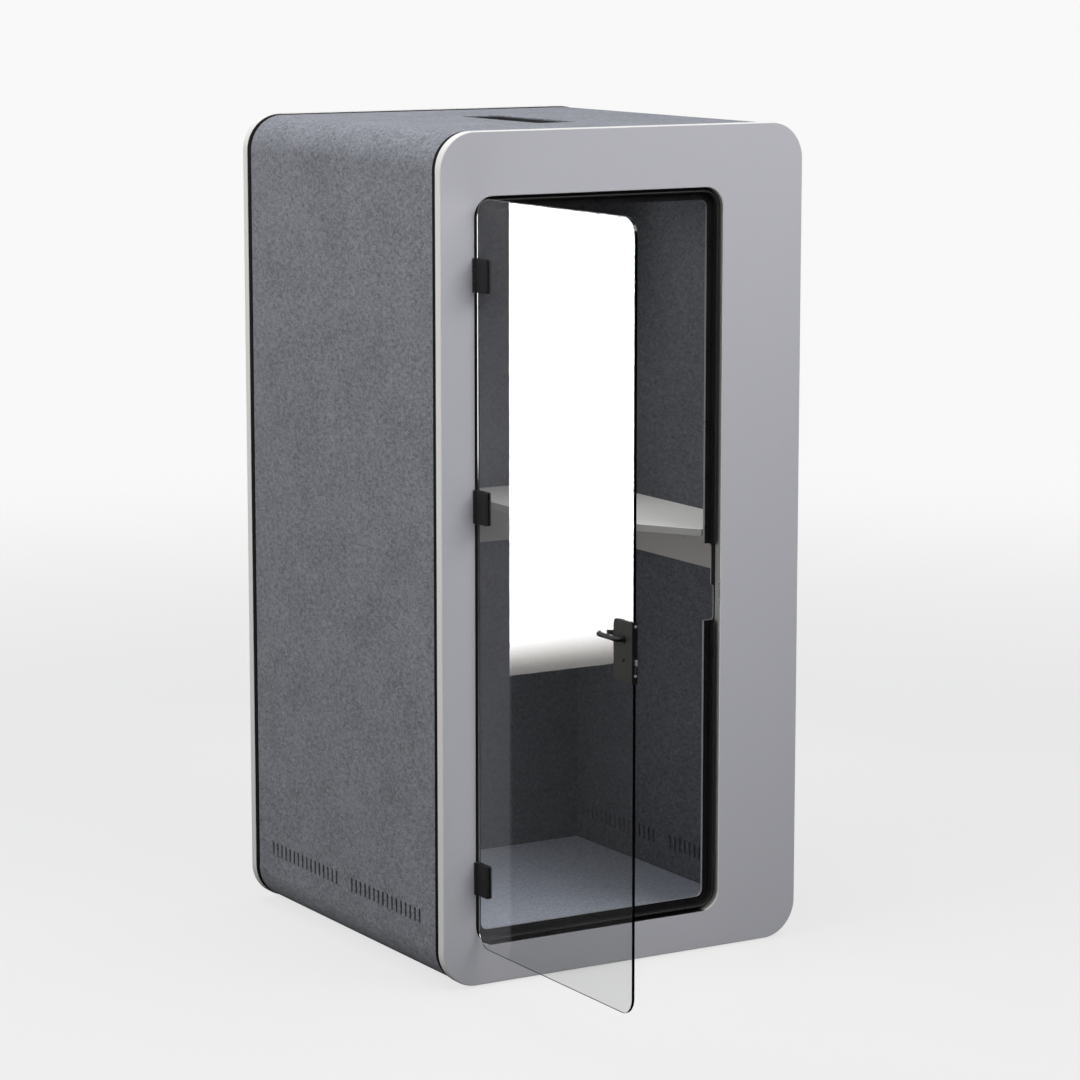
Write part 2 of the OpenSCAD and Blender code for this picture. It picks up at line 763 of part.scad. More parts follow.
module hinge_pins() {
  color("Silver") for (z = hinge_zs)
    translate([pivot_x, pivot_y, z - hinge_h / 2]) cylinder(r = pin_r, h = hinge_h);
}
module leaf_screws() {
  color("Silver") for (z = hinge_zs, s = [-1, 1])
    translate([0, face_y + leaf_screw_y, z + s * leaf_screw_dz]) {
    bar_x(leaf_head_r, way_x0, way_x0 + leaf_t);
    bar_x(leaf_screw_r, way_x0 - leaf_screw_l + over, way_x0);
  }
}
// Parts on the glass
module clamp_places(z) {
  for (s = [-1, 1]) translate([(hinge_x0 + hinge_x1) / 2, 0, z + s * (hinge_h / 2 - clamp_inset)])
    children();
}
module hinge_outer(z) {
  y0 = glass_y0 - pad_t - hinge_plate_t;
  y1 = glass_y0 - pad_t;
  color("Black") on_door() difference() {
    union() {
      stand(y0, y1) round_rect(hinge_x0, z - hinge_h / 2, hinge_x1, z + hinge_h / 2, hinge_r);
      translate([0, y0, z - knuckle_h / 2 + slack]) cube([hinge_x0 + hinge_r, y1 - y0, knuckle_h - 2 * slack]);
      translate([0, 0, z - knuckle_h / 2 + slack]) cylinder(r = knuckle_r, h = knuckle_h - 2 * slack);
    }
    translate([0, 0, z - hinge_h / 2]) cylinder(r = pin_r + run, h = hinge_h);
    clamp_places(z) bar_y(clamp_r + run, y0 + over, y1 + over);
  }
}
module hinge_outer_low() { hinge_outer(hinge_zs[0]); }
module hinge_outer_mid() { hinge_outer(hinge_zs[1]); }
module hinge_outer_top() { hinge_outer(hinge_zs[2]); }
module hinge_inner(z) {
  y0 = glass_y1 + pad_t;
  color("Black") on_door() difference() {
    stand(y0, y0 + hinge_plate_t)
      round_rect(hinge_x0, z - hinge_h / 2, hinge_x1, z + hinge_h / 2, hinge_r);
    clamp_places(z) bar_y(clamp_r + run, y0 - over, y0 + hinge_plate_t + over);
  }
}
module hinge_inner_low() { hinge_inner(hinge_zs[0]); }
module hinge_inner_mid() { hinge_inner(hinge_zs[1]); }
module hinge_inner_top() { hinge_inner(hinge_zs[2]); }
module hinge_pads() {
  color("DimGray") on_door() for (z = hinge_zs, y = [glass_y0 - pad_t, glass_y1]) difference() {
    stand(y, y + pad_t) round_rect(hinge_x0, z - hinge_h / 2, hinge_x1, z + hinge_h / 2, hinge_r);
    clamp_places(z) bar_y(clamp_hole_r, y - over, y + pad_t + over);
  }
}
module hinge_screws() {
  y1 = glass_y1 + pad_t + hinge_plate_t;
  color("Black") on_door() for (z = hinge_zs) clamp_places(z) {
    bar_y(clamp_r, glass_y0 - pad_t - hinge_plate_t / 2, y1);
    difference() {
      bar_y(clamp_head_r, y1, y1 + clamp_head_t);
      translate([0, y1 + clamp_head_t + over, 0]) rotate([quarter, 0, 0])
        cylinder(r = clamp_r, h = clamp_head_t / 2 + over, $fn = 6);
    }
  }
}

// Door leaf with rounded corners, hinge holes and the lock's notch
module glass_door() {
  color("LightCyan", alpha = 0.4) on_door() difference() {
    stand(glass_y0, glass_y1) difference() {
      round_rect(glass_x0, glass_z0, glass_x1, glass_z1, glass_r);
      round_rect(case_x0, lock_z0 + case_margin, glass_x1 + lock_w, lock_z0 + lock_h - case_margin, case_r);
    }
    for (z = hinge_zs) clamp_places(z) bar_y(clamp_hole_r, glass_y0 - over, glass_y1 + over);
  }
}

// Lock
module case_outline(x1, inset) {
  round_rect(case_x0 + inset, lock_z0 + case_margin + inset, x1, lock_z0 + lock_h - case_margin - inset,
    case_r - inset);
}
module lock_body() {
  color("DimGray") on_door() difference() {
    stand(glass_y0 - pad_t, inner_y1 - inner_wall) case_outline(forend_x0, pad_t);
    for (z = [latch_axis_z, dead_axis_z]) translate([forend_x0 - lock_w / 2, bolt_y - bolt_t / 2 - slack,
      z - bolt_h / 2 - slack]) cube([lock_w / 2 + over, bolt_t + 2 * slack, bolt_h + 2 * slack]);
    translate([lever_x, 0, lever_axis_z]) bar_y(follower_r + run, cover_y0, inner_y1);
    translate([lever_x, 0, key_axis_z]) bar_y(key_dia / 2 + run, cover_y0, inner_y1);
  }
}
module cover_outline() { round_rect(lock_x0, lock_z0, forend_x0, lock_z0 + lock_h, cover_r); }
module cover_square() {
  translate([forend_x0 - cover_r, lock_z0]) square([cover_r, lock_h]);
}
module lock_outer_cover() {
  color("DarkSlateGray") on_door() difference() {
    stand(cover_y0, cover_y1) {
      cover_outline();
      cover_square();
    }
    translate([lever_x, 0, lever_axis_z]) bar_y(follower_r + run, cover_y0 - over, cover_y1 + over);
    translate([lever_x, 0, key_axis_z]) bar_y(key_dia / 2 + run, cover_y0 - over, cover_y1 + over);
  }
}
module lock_inner_cover() {
  color("DarkSlateGray") on_door() difference() {
    stand(inner_y0, inner_y1) {
      cover_outline();
      cover_square();
    }
    stand(inner_y0 - over, inner_y1 - inner_wall + pad_t / 2) case_outline(forend_x0 + case_r, 0);
    translate([lever_x, 0, lever_axis_z]) bar_y(follower_r + run, inner_y0 - over, inner_y1 + over);
    translate([lever_x, 0, key_axis_z]) bar_y(key_dia / 2 + run, inner_y0 - over, inner_y1 + over);
  }
}
module forend() {
  color("DarkSlateGray") on_door() difference() {
    translate([forend_x0, cover_y0, lock_z0]) cube([forend_t, inner_y1 - cover_y0, lock_h]);
    for (z = [latch_axis_z, dead_axis_z]) translate([forend_x0 - over, bolt_y - bolt_t / 2 - slack,
      z - bolt_h / 2 - slack]) cube([forend_t + 2 * over, bolt_t + 2 * slack, bolt_h + 2 * slack]);
    forend_screw_places() bar_x(forend_head_r + run, forend_x0 - over, lock_x1 + over);
  }
}
module forend_screw_places() {
  for (z = [forend_screw_low, lock_z0 + lock_h - forend_screw_inset])
    translate([0, bolt_y, z]) children();
}
module forend_screws() {
  color("Silver") on_door() forend_screw_places() difference() {
    bar_x(forend_head_r, forend_x0, lock_x1);
    translate([lock_x1 - forend_t / 2, -forend_screw_r, -pad_t])
      cube([forend_t, 2 * forend_screw_r, 2 * pad_t]);
  }
}
// Lever handles turn together on a square spindle
module lever_spindle() {
  color("Silver") on_door() translate([lever_x, 0, lever_axis_z]) {
    translate([-spindle_w / 2, cover_y0 - rose_t, -spindle_w / 2])
      cube([spindle_w, inner_y1 - cover_y0 + 2 * rose_t, spindle_w]);
    bar_y(follower_r, cover_y0 + slack, inner_y1 - slack);
  }
}
// Lever on the side s (-1 outside, 1 inside) of the door, from the face y
module lever(s, y) {
  y_bar = y + s * lever_off;
  translate([lever_x, 0, lever_axis_z]) {
    difference() {
      union() {
        bar_y(rose_r, min(y + s * slack, y + s * rose_t), max(y + s * slack, y + s * rose_t));
        bar_y(lever_t / 2, min(y + s * slack, y_bar), max(y + s * slack, y_bar));
      }
      translate([-spindle_w / 2 - run, min(y - s * over, y + s * (rose_t + slack)), -spindle_w / 2 - run])
        cube([spindle_w + 2 * run, rose_t + slack + over, spindle_w + 2 * run]);
    }
    translate([0, y_bar, 0]) {
      sphere(r = lever_t / 2);
      bar_x(lever_t / 2, lever_t / 2 - lever_l, 0);
      translate([lever_t / 2 - lever_l, 0, 0]) {
        sphere(r = lever_t / 2);
        bar_y(lever_t / 2, min(0, -s * lever_t), max(0, -s * lever_t));
      }
    }
  }
}
module outer_lever() { color("Black") on_door() lever(-1, cover_y0); }
module inner_lever() { color("Black") on_door() lever(1, inner_y1); }
// Key plug outside and turning knob inside are one turning piece each
module key_cylinder() {
  color("Silver") on_door() translate([lever_x, 0, key_axis_z]) difference() {
    bar_y(key_dia / 2, cover_y0 - over, bolt_y);
    translate([-pad_t, cover_y0 - 2 * over, -key_dia / 4]) cube([2 * pad_t, cover_t, key_dia / 2]);
  }
}
module thumb_turn() {
  color("Black") on_door() translate([lever_x, 0, key_axis_z]) {
    bar_y(key_dia / 2, bolt_y + slack, inner_y1 + rose_t);
    translate([-bolt_t / 2, inner_y1, -key_dia / 2]) cube([bolt_t, key_dia, key_dia]);
  }
}
module bolt(z, out) {
  on_door() translate([forend_x0 - bolt_h, bolt_y - bolt_t / 2, z - bolt_h / 2])
    cube([bolt_h + out, bolt_t, bolt_h]);
}
// The latch bolt's inner side is bevelled, so that it slides back as the door closes
module latch_bolt() {
  tail = bolt_h + forend_t;
  color("Silver") on_door() translate([forend_x0 - bolt_h, bolt_y - bolt_t / 2, latch_axis_z - bolt_h / 2])
    linear_extrude(height = bolt_h)
      polygon([[0, 0], [tail + bolt_throw, 0], [tail + bolt_throw, bolt_t / 3], [tail, bolt_t], [0, bolt_t]]);
}
module dead_bolt() { color("Silver") bolt(dead_axis_z, forend_t); }

front_board();
front_laminate();
rear_board();
rear_laminate();
front_spacer();
rear_spacer();
outer_felt();
carcass_shell();
acoustic_core();
rear_core();
front_core();
lining_left();
lining_right();
lining_rear();
lining_front();
lining_ceiling();
floor_deck();
carpet();
levelling_feet();
door_frame();
door_seal();
strike_plate();
strike_screws();
desk_top();
desk_side_cleat();
desk_rear_cleat();
cleat_screws();
roof_tray();
fan_frame_front();
fan_frame_rear();
fan_rotor_front();
fan_rotor_rear();
ceiling_light();
light_diffuser();
hinge_leaf_low();
hinge_leaf_mid();
hinge_leaf_top();
hinge_pins();
leaf_screws();
glass_door();
hinge_outer_low();
hinge_outer_mid();
hinge_outer_top();
hinge_inner_low();
hinge_inner_mid();
hinge_inner_top();
hinge_pads();
hinge_screws();
lock_body();
lock_outer_cover();
lock_inner_cover();
forend();
forend_screws();
lever_spindle();
outer_lever();
inner_lever();
key_cylinder();
thumb_turn();
latch_bolt();
dead_bolt();
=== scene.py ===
"""Acoustic office pod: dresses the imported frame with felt, laminate, glass, metal and carpet.

The pod stands on the floor with X to the right and Y to the back, seen from its door side.
The glass door is stored standing open at a right angle. All lengths are in metres.
"""

from __future__ import annotations

import json
import logging
import math
from dataclasses import dataclass
from enum import Enum
from typing import Callable, Sequence

import bmesh
import bpy
from mathutils import Euler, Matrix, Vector

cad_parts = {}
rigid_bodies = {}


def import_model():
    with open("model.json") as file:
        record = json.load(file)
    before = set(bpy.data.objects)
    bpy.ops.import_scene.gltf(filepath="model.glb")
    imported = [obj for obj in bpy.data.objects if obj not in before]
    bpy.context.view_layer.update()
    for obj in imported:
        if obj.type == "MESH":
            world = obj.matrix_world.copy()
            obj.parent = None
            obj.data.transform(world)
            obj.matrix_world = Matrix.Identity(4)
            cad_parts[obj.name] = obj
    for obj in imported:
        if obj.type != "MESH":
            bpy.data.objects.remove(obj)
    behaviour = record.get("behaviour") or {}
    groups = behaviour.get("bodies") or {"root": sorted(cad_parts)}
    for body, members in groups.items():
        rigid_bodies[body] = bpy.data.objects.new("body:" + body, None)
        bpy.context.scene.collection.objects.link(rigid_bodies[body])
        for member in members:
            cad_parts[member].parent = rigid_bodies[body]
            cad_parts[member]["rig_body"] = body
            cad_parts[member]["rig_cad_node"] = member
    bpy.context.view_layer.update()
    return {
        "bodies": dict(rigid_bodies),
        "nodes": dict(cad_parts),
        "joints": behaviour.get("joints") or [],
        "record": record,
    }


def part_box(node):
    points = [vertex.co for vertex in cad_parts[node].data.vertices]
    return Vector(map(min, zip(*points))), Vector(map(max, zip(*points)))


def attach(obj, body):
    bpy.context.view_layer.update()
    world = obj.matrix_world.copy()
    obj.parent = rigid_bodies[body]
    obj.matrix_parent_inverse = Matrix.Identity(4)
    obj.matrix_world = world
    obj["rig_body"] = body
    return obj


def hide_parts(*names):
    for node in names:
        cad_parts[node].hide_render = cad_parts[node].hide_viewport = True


log = logging.getLogger("office_pod")
Object = bpy.types.Object
Material = bpy.types.Material
Socket = bpy.types.NodeSocket
Triple = tuple[float, float, float]
Pair = tuple[float, float]

HINGE_LEVELS = {"low": 0.292, "mid": 1.260, "top": 1.847}
HINGE_SCREW = 0.0245
NOTCH = ((0.6742, 0.80), (0.941, 1.071))
FAN_Y = {"front": -0.125, "rear": 0.085}
SHELL_FRONT = -0.507


class Axis(Enum):
    """An axis, by its place in a vector."""

    X = 0
    Y = 1
    Z = 2


class Part(Enum):
    """What edit mode selects."""

    FACE = "FACE"
    EDGE = "EDGE"
    VERT = "VERT"


# Workbench: small modelling steps that every class uses


def deselect() -> None:
    """Leaves edit mode with nothing selected."""
    if bpy.context.object and bpy.context.object.mode != "OBJECT":
        bpy.ops.object.mode_set(mode="OBJECT")
    bpy.ops.object.select_all(action="DESELECT")


def activate(obj: Object) -> None:
    """Selects one object alone and makes it active.

    Args:
        obj: the object to work on.
    """
    deselect()
    obj.select_set(True)
    bpy.context.view_layer.objects.active = obj


def named(name: str) -> Object:
    """Gives the active object its name.

    Args:
        name: the piece's name.

    Returns:
        The active object.
    """
    obj = bpy.context.object
    obj.name = name
    obj.data.name = name
    return obj


def box(name: str, low: Sequence[float], high: Sequence[float]) -> Object:
    """Adds a block between two corners, its place kept in its mesh.

    Args:
        name: the piece's name.
        low: lowest corner.
        high: highest corner.

    Returns:
        The new object.
    """
    deselect()
    low, high = Vector(low), Vector(high)
    bpy.ops.mesh.primitive_cube_add(size=1, location=(low + high) / 2, scale=high - low)
    bpy.ops.object.transform_apply(location=True, rotation=True, scale=True)
    return named(name)


def drum(name: str, axis: Axis, centre: Triple, radius: float, length: float, sides: int = 40) -> Object:
    """Adds a round bar along an axis.

    Args:
        name: the piece's name.
        axis: direction of the bar.
        centre: its middle.
        radius: its radius.
        length: its length.
        sides: flats round it.

    Returns:
        The new object.
    """
    deselect()
    turn = {Axis.X: (0, math.pi / 2, 0), Axis.Y: (math.pi / 2, 0, 0), Axis.Z: (0, 0, 0)}[axis]
    bpy.ops.mesh.primitive_cylinder_add(
        vertices=sides, radius=radius, depth=length, location=centre, rotation=turn
    )
    bpy.ops.object.transform_apply(location=True, rotation=True, scale=True)
    return named(name)


def pick(obj: Object, part: Part, test: Callable) -> None:
    """Enters edit mode with the faces, edges or points selected that pass a test.

    Args:
        obj: the object to edit.
        part: what is selected.
        test: takes one face, edge or point.
    """
    activate(obj)
    bpy.ops.object.mode_set(mode="EDIT")
    bpy.ops.mesh.select_mode(type=part.value)
    bpy.ops.mesh.select_all(action="DESELECT")
    mesh = bmesh.from_edit_mesh(obj.data)
    items = {Part.FACE: mesh.faces, Part.EDGE: mesh.edges, Part.VERT: mesh.verts}[part]
    for item in [item for item in items if test(item)]:
        item.select_set(True)
    mesh.select_flush_mode()
    bmesh.update_edit_mesh(obj.data)


def along(axis: Axis) -> Callable:
    """Makes a test for edges that run along an axis."""
    return lambda e: abs((e.verts[0].co - e.verts[1].co).normalized()[axis.value]) > 0.999


def level(axis: Axis, place: float) -> Callable:
    """Makes a test for edges that lie in a plane across an axis."""
    return lambda e: all(abs(v.co[axis.value] - place) < 1e-5 for v in e.verts)


def bevel(obj: Object, test: Callable, width: float, steps: int) -> None:
    """Rounds the edges that pass a test.

    Args:
        obj: the object.
        test: takes one edge.
        width: distance from the old edge.
        steps: facets in the rounding.
    """
    pick(obj, Part.EDGE, test)
    bpy.ops.mesh.bevel(offset=width, segments=steps, profile=0.5, affect="EDGES")
    deselect()


def slab(name: str, axis: Axis, low: Sequence[float], high: Sequence[float], radius: float,
         steps: int = 12) -> Object:
    """Adds a plate with rounded corners.

    Args:
        name: the piece's name.
        axis: direction of its thickness.
        low: lowest corner.
        high: highest corner.
        radius: corner radius.
        steps: facets in a corner.

    Returns:
        The new object.
    """
    plate = box(name, low, high)
    bevel(plate, along(axis), radius, steps)
    return plate


def pierce(obj: Object, wall: float) -> Object:
    """Turns an upright plate into a ring of even width by insetting both faces and bridging them.

    Args:
        obj: a plate with two flat faces, front and back.
        wall: width of the ring.

    Returns:
        The same object.
    """
    pick(obj, Part.FACE, lambda f: abs(f.normal.y) > 0.999)
    bpy.ops.mesh.inset(thickness=wall, use_even_offset=True)
    bpy.ops.mesh.bridge_edge_loops()
    deselect()
    return obj


def apply_modifier(obj: Object, kind: str, **values: object) -> None:
    """Adds a modifier and applies it.

    Args:
        obj: the object to change.
        kind: Blender's name of the modifier.
        **values: its settings.
    """
    activate(obj)
    bpy.ops.object.modifier_add(type=kind)
    modifier = obj.modifiers[-1]
    for key, value in values.items():
        setattr(modifier, key, value)
    bpy.ops.object.modifier_apply(modifier=modifier.name)


def join(name: str, objects: Sequence[Object]) -> Object:
    """Joins objects into one.

    Args:
        name: the piece's name.
        objects: what is joined.

    Returns:
        The joined object.
    """
    activate(objects[0])
    for obj in objects[1:]:
        obj.select_set(True)
    if len(objects) > 1:
        bpy.ops.object.join()
    return named(name)


def combine(obj: Object, tool: Object, operation: str) -> None:
    """Cuts one object with another, or unites them, and removes the second."""
    apply_modifier(obj, "BOOLEAN", operation=operation, solver="EXACT", object=tool)
    bpy.data.objects.remove(tool, do_unlink=True)


def cut(obj: Object, *cutters: Object) -> None:
    """Cuts other objects, clear of each other, out of one and removes them."""
    combine(obj, join("cutter", cutters), "DIFFERENCE")


def smooth(obj: Object, angle: float) -> Object:
    """Shades a piece smooth where its faces meet flatter than an angle.

    Args:
        obj: the piece.
        angle: the limit in degrees.

    Returns:
        The same object.
    """
    activate(obj)
    bpy.ops.object.shade_smooth_by_angle(angle=math.radians(angle))
    return obj


def even(obj: Object, angle: float) -> Object:
    """Shades a piece smooth and keeps its flat faces flat.

    Args:
        obj: the piece.
        angle: smooth where faces meet flatter than this, in degrees.

    Returns:
        The same object.
    """
    smooth(obj, angle)
    apply_modifier(obj, "WEIGHTED_NORMAL", keep_sharp=True)
    return obj


def soften(obj: Object, width: float, steps: int = 2) -> Object:
    """Rounds every sharp edge and keeps flat faces flat."""
    apply_modifier(obj, "BEVEL", width=width, segments=steps, limit_method="ANGLE",
                   angle_limit=math.radians(32))
    return even(obj, 50)


def copy_node(name: str, node: str, width: float, steps: int = 2) -> Object:
    """Copies a CAD node, merges its loose triangles and rounds its edges.

    Args:
        name: the new piece's name.
        node: the CAD node.
        width: radius of the rounding.
        steps: facets in it.

    Returns:
        The new object.
    """
    source = bpy.data.objects[node]
    obj = source.copy()
    obj.data = source.data.copy()
    obj.parent = None
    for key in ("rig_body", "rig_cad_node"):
        if key in obj:
            del obj[key]
    bpy.context.scene.collection.objects.link(obj)
    activate(obj)
    bpy.ops.object.mode_set(mode="EDIT")
    bpy.ops.mesh.select_all(action="SELECT")
    bpy.ops.mesh.remove_doubles(threshold=1e-5)
    bpy.ops.mesh.dissolve_limited(angle_limit=math.radians(0.5))
    deselect()
    obj.name = name
    return soften(obj, width, steps)


def repeat(obj: Object, count: int, step: Triple) -> Object:
    """Copies a mesh along a line within one object.

    Args:
        obj: what is repeated.
        count: how many in all.
        step: distance from one to the next.

    Returns:
        The same object.
    """
    apply_modifier(obj, "ARRAY", count=count, use_relative_offset=False, use_constant_offset=True,
                   constant_offset_displace=step)
    return obj


# Finishes


class Wiring:
    """A node tree while it is put together."""

    def __init__(self, tree: bpy.types.NodeTree) -> None:
        """Takes an empty or new tree."""
        self.tree = tree

    def feed(self, node: bpy.types.Node, links: dict) -> None:
        """Links or sets a node's inputs.

        Args:
            node: the node.
            links: sockets and values by the input's name or place.
        """
        for key, value in links.items():
            if isinstance(value, Socket):
                self.tree.links.new(value, node.inputs[key])
            else:
                node.inputs[key].default_value = value

    def add(self, kind: str, links: dict | None = None, out: str | int | None = 0,
            **values: object) -> Socket | None:
        """Adds a node.

        Args:
            kind: Blender's name of the node, without its prefix.
            links: sockets and values by the input's name or place.
            out: the output that is wanted, or None.
            **values: the node's own settings.

        Returns:
            That output.
        """
        node = self.tree.nodes.new("ShaderNode" + kind)
        for key, value in values.items():
            setattr(node, key, value)
        self.feed(node, links or {})
        return None if out is None else node.outputs[out]

    def math(self, operation: str, a: Socket, b: Socket | float) -> Socket:
        """Works out one step of arithmetic on two values."""
        return self.add("Math", {0: a, 1: b}, operation=operation)

    def fit(self, value: Socket, start: float, end: float, low: float, high: float,
            way: str = "LINEAR") -> Socket:
        """Maps a value from one range to another."""
        ends = {"From Min": start, "From Max": end, "To Min": low, "To Max": high}
        return self.add("MapRange", {"Value": value, **ends}, interpolation_type=way)

    def ray(self, kind: str) -> Socket:
        """Gives one of Light Path's outputs."""
        return self.add("LightPath", out=kind)

    def seen(self) -> Socket:
        """Gives 1 to what is looked at straight or through glass, and 0 to light and reflections."""
        direct = self.math("LESS_THAN", self.ray("Glossy Depth"), 0.5)
        through = self.math("MULTIPLY", self.ray("Is Transmission Ray"), direct)
        return self.math("MAXIMUM", self.ray("Is Camera Ray"), through)

    def mix(self, share: Socket, a: Socket, b: Socket) -> Socket:
        """Mixes two shaders."""
        return self.add("MixShader", {0: share, 1: a, 2: b})


class Recipe(Wiring):
    """A material's node tree while it is put together."""

    def __init__(self, name: str) -> None:
        """Starts a new material of that name."""
        self.material = bpy.data.materials.new(name)
        self.material.use_nodes = True
        super().__init__(self.material.node_tree)
        self.shader = self.tree.nodes["Principled BSDF"]
        self.place = self.add("TexCoord", out="Object")

    def surface(self, shader: Socket) -> Material:
        """Gives the material another shader as its surface."""
        self.tree.links.new(shader, self.tree.nodes["Material Output"].inputs["Surface"])
        return self.material

    def stretched(self, scale: Triple) -> Socket:
        """Stretches the pattern's space along its axes."""
        return self.add("Mapping", {"Vector": self.place, "Scale": scale})

    def noise(self, scale: float, detail: float = 4, rough: float = 0.55, twist: float = 0,
              space: Socket | None = None) -> Socket:
        """Adds a noise pattern."""
        return self.add("TexNoise", {"Vector": space or self.place, "Scale": scale, "Detail": detail,
                                     "Roughness": rough, "Distortion": twist}, out="Fac")

    def ramp(self, factor: Socket, stops: Sequence[tuple[float, Triple]]) -> Socket:
        """Colours a pattern.

        Args:
            factor: the pattern.
            stops: place and colour of each stop.

        Returns:
            The colour.
        """
        colour = self.add("ValToRGB", {"Fac": factor}, out="Color")
        ends = colour.node.color_ramp.elements
        while len(ends) < len(stops):
            ends.new(0.5)
        for element, (place, tint) in zip(ends, stops):
            element.position = place
            element.color = (*tint, 1)
        return colour

    def blend(self, a: Socket, b: Socket, share: float) -> Socket:
        """Mixes two patterns, with a share of the second."""
        return self.add("Mix", {"Factor": share, "A": a, "B": b}, out="Result")

    def spread(self, factor: Socket, low: float, high: float) -> Socket:
        """Maps a pattern's middle part to a range."""
        return self.fit(factor, 0.3, 0.7, low, high)

    def bump(self, height: Socket, strength: float, depth: float) -> None:
        """Raises the surface by a pattern, to a depth in metres."""
        self.wire({"Normal": self.add("Bump", {"Height": height, "Strength": strength, "Distance": depth})})

    def wire(self, links: dict) -> None:
        """Feeds the shader's inputs."""
        self.feed(self.shader, links)


@dataclass(frozen=True)
class Finish:
    """What every finish has: a name and a colour."""

    name: str
    colour: Triple

    def shade(self, share: float) -> Triple:
        """Gives the colour darker or lighter."""
        return tuple(min(1.0, c * share) for c in self.colour)

    def material(self) -> Material:
        """Returns the material, made once."""
        found = bpy.data.materials.get(self.name)
        return found if found else self.build()

    def build(self) -> Material:
        """Makes the material."""
        raise NotImplementedError


@dataclass(frozen=True)
class Felt(Finish):
    """Pressed wool-like felt: mottled fibres in two greys."""

    contrast: float = 0.34
    sheen: float = 0.2

    def build(self) -> Material:
        """Makes the felt from clumps, fibres and a fuzzy surface."""
        r = Recipe(self.name)
        clumps = r.noise(135, 4, 0.6, 0.9, r.stretched((1, 0.58, 1)))
        fibres = r.noise(420, 4, 0.6, 2.2, r.stretched((1, 0.6, 1)))
        cloud = r.noise(6, 2)
        pattern = r.blend(r.blend(clumps, fibres, 0.26), cloud, 0.12)
        low, high = self.shade(1 - self.contrast), self.shade(1 + self.contrast)
        colour = r.ramp(pattern, [(0.38, low), (0.5, self.colour), (0.62, high)])
        r.wire({"Base Color": colour, "Roughness": 0.95, "Sheen Weight": self.sheen, "Sheen Roughness": 0.6,
                "Specular IOR Level": 0.15})
        r.bump(r.blend(fibres, clumps, 0.35), 0.55, 0.0012)
        return r.material


@dataclass(frozen=True)
class Pile(Finish):
    """Loop-pile carpet."""

    def build(self) -> Material:
        """Makes the carpet from loops and yarn shades."""
        r = Recipe(self.name)
        loops = r.add("TexVoronoi", {"Vector": r.place, "Scale": 330.0}, out="Distance", distance="EUCLIDEAN")
        yarn = r.noise(120, 5, 0.65, 1.0)
        pattern = r.blend(yarn, loops, 0.3)
        r.wire({
            "Base Color": r.ramp(pattern, [(0.3, self.shade(0.6)), (0.48, self.colour),
                                           (0.66, self.shade(1.4))]),
            "Roughness": 0.97, "Sheen Weight": 0.15, "Specular IOR Level": 0.1,
        })
        r.bump(r.blend(loops, yarn, 0.4), 0.7, 0.0025)
        return r.material


@dataclass(frozen=True)
class Board(Finish):
    """Smooth laminate or painted board with a faint pearl speckle."""

    rough: float = 0.42
    speckle: float = 0.035
    grain: float = 0.00005

    def build(self) -> Material:
        """Makes the board from a fine speckle and a slight orange skin."""
        r = Recipe(self.name)
        fine = r.noise(1500, 3, 0.6)
        broad = r.noise(9, 3)
        colour = r.ramp(r.blend(fine, broad, 0.25), [(0.35, self.shade(1 - self.speckle)),
                                                    (0.65, self.shade(1 + self.speckle))])
        r.wire({"Base Color": colour, "Roughness": r.spread(broad, self.rough - 0.03, self.rough + 0.05),
                "Specular IOR Level": 0.4})
        r.bump(fine, 0.25, self.grain)
        return r.material


@dataclass(frozen=True)
class Wood(Finish):
    """Plain board with a wood grain."""

    def build(self) -> Material:
        """Makes the grain by stretching noise along the board."""
        r = Recipe(self.name)
        grain = r.noise(18, 6, 0.6, 0.6, r.stretched((6, 0.5, 6)))
        r.wire({"Base Color": r.ramp(grain, [(0.3, self.shade(0.7)), (0.7, self.shade(1.15))]),
                "Roughness": 0.7})
        r.bump(grain, 0.2, 0.0003)
        return r.material


@dataclass(frozen=True)
class Coat(Finish):
    """Powder-coated metal or grained plastic."""

    rough: float = 0.45
    metal: float = 0.0
    grain: float = 900
    gloss: float = 0.5

    def build(self) -> Material:
        """Makes the coat from a fine grain and slightly uneven gloss."""
        r = Recipe(self.name)
        grain = r.noise(self.grain, 3, 0.6)
        hands = r.noise(26, 4, 0.6, 0.5)
        colour = r.ramp(r.blend(grain, hands, 0.5), [(0.35, self.shade(0.85)), (0.65, self.shade(1.18))])
        r.wire({"Base Color": colour, "Roughness": r.spread(hands, self.rough - 0.05, self.rough + 0.08),
                "Metallic": self.metal, "Specular IOR Level": self.gloss})
        r.bump(grain, 0.3, 0.00012)
        return r.material


@dataclass(frozen=True)
class Brushed(Finish):
    """Brushed steel."""

    metal: float = 0.75

    def build(self) -> Material:
        """Makes fine parallel scratches."""
        r = Recipe(self.name)
        lines = r.noise(700, 4, 0.7, 0, r.stretched((1, 1, 0.04)))
        r.wire({"Base Color": r.ramp(lines, [(0.3, self.shade(0.86)), (0.7, self.colour)]),
                "Metallic": self.metal,
                "Roughness": r.spread(lines, 0.24, 0.4)})
        r.bump(lines, 0.15, 0.00003)
        return r.material


@dataclass(frozen=True)
class Glazing(Finish):
    """Toughened clear glass that lets lamp light through."""

    def build(self) -> Material:
        """Makes the glass, with a faint smear in its gloss."""
        r = Recipe(self.name)
        smear = r.noise(5, 3)
        r.wire({"Base Color": r.ramp(smear, [(0.3, self.shade(0.99)), (0.7, self.colour)]),
                "Roughness": 0.0, "IOR": 1.5, "Transmission Weight": 1.0})
        clear = r.add("BsdfTransparent", {"Color": (*self.colour, 1)})
        return r.surface(r.mix(r.ray("Is Shadow Ray"), r.shader.outputs["BSDF"], clear))


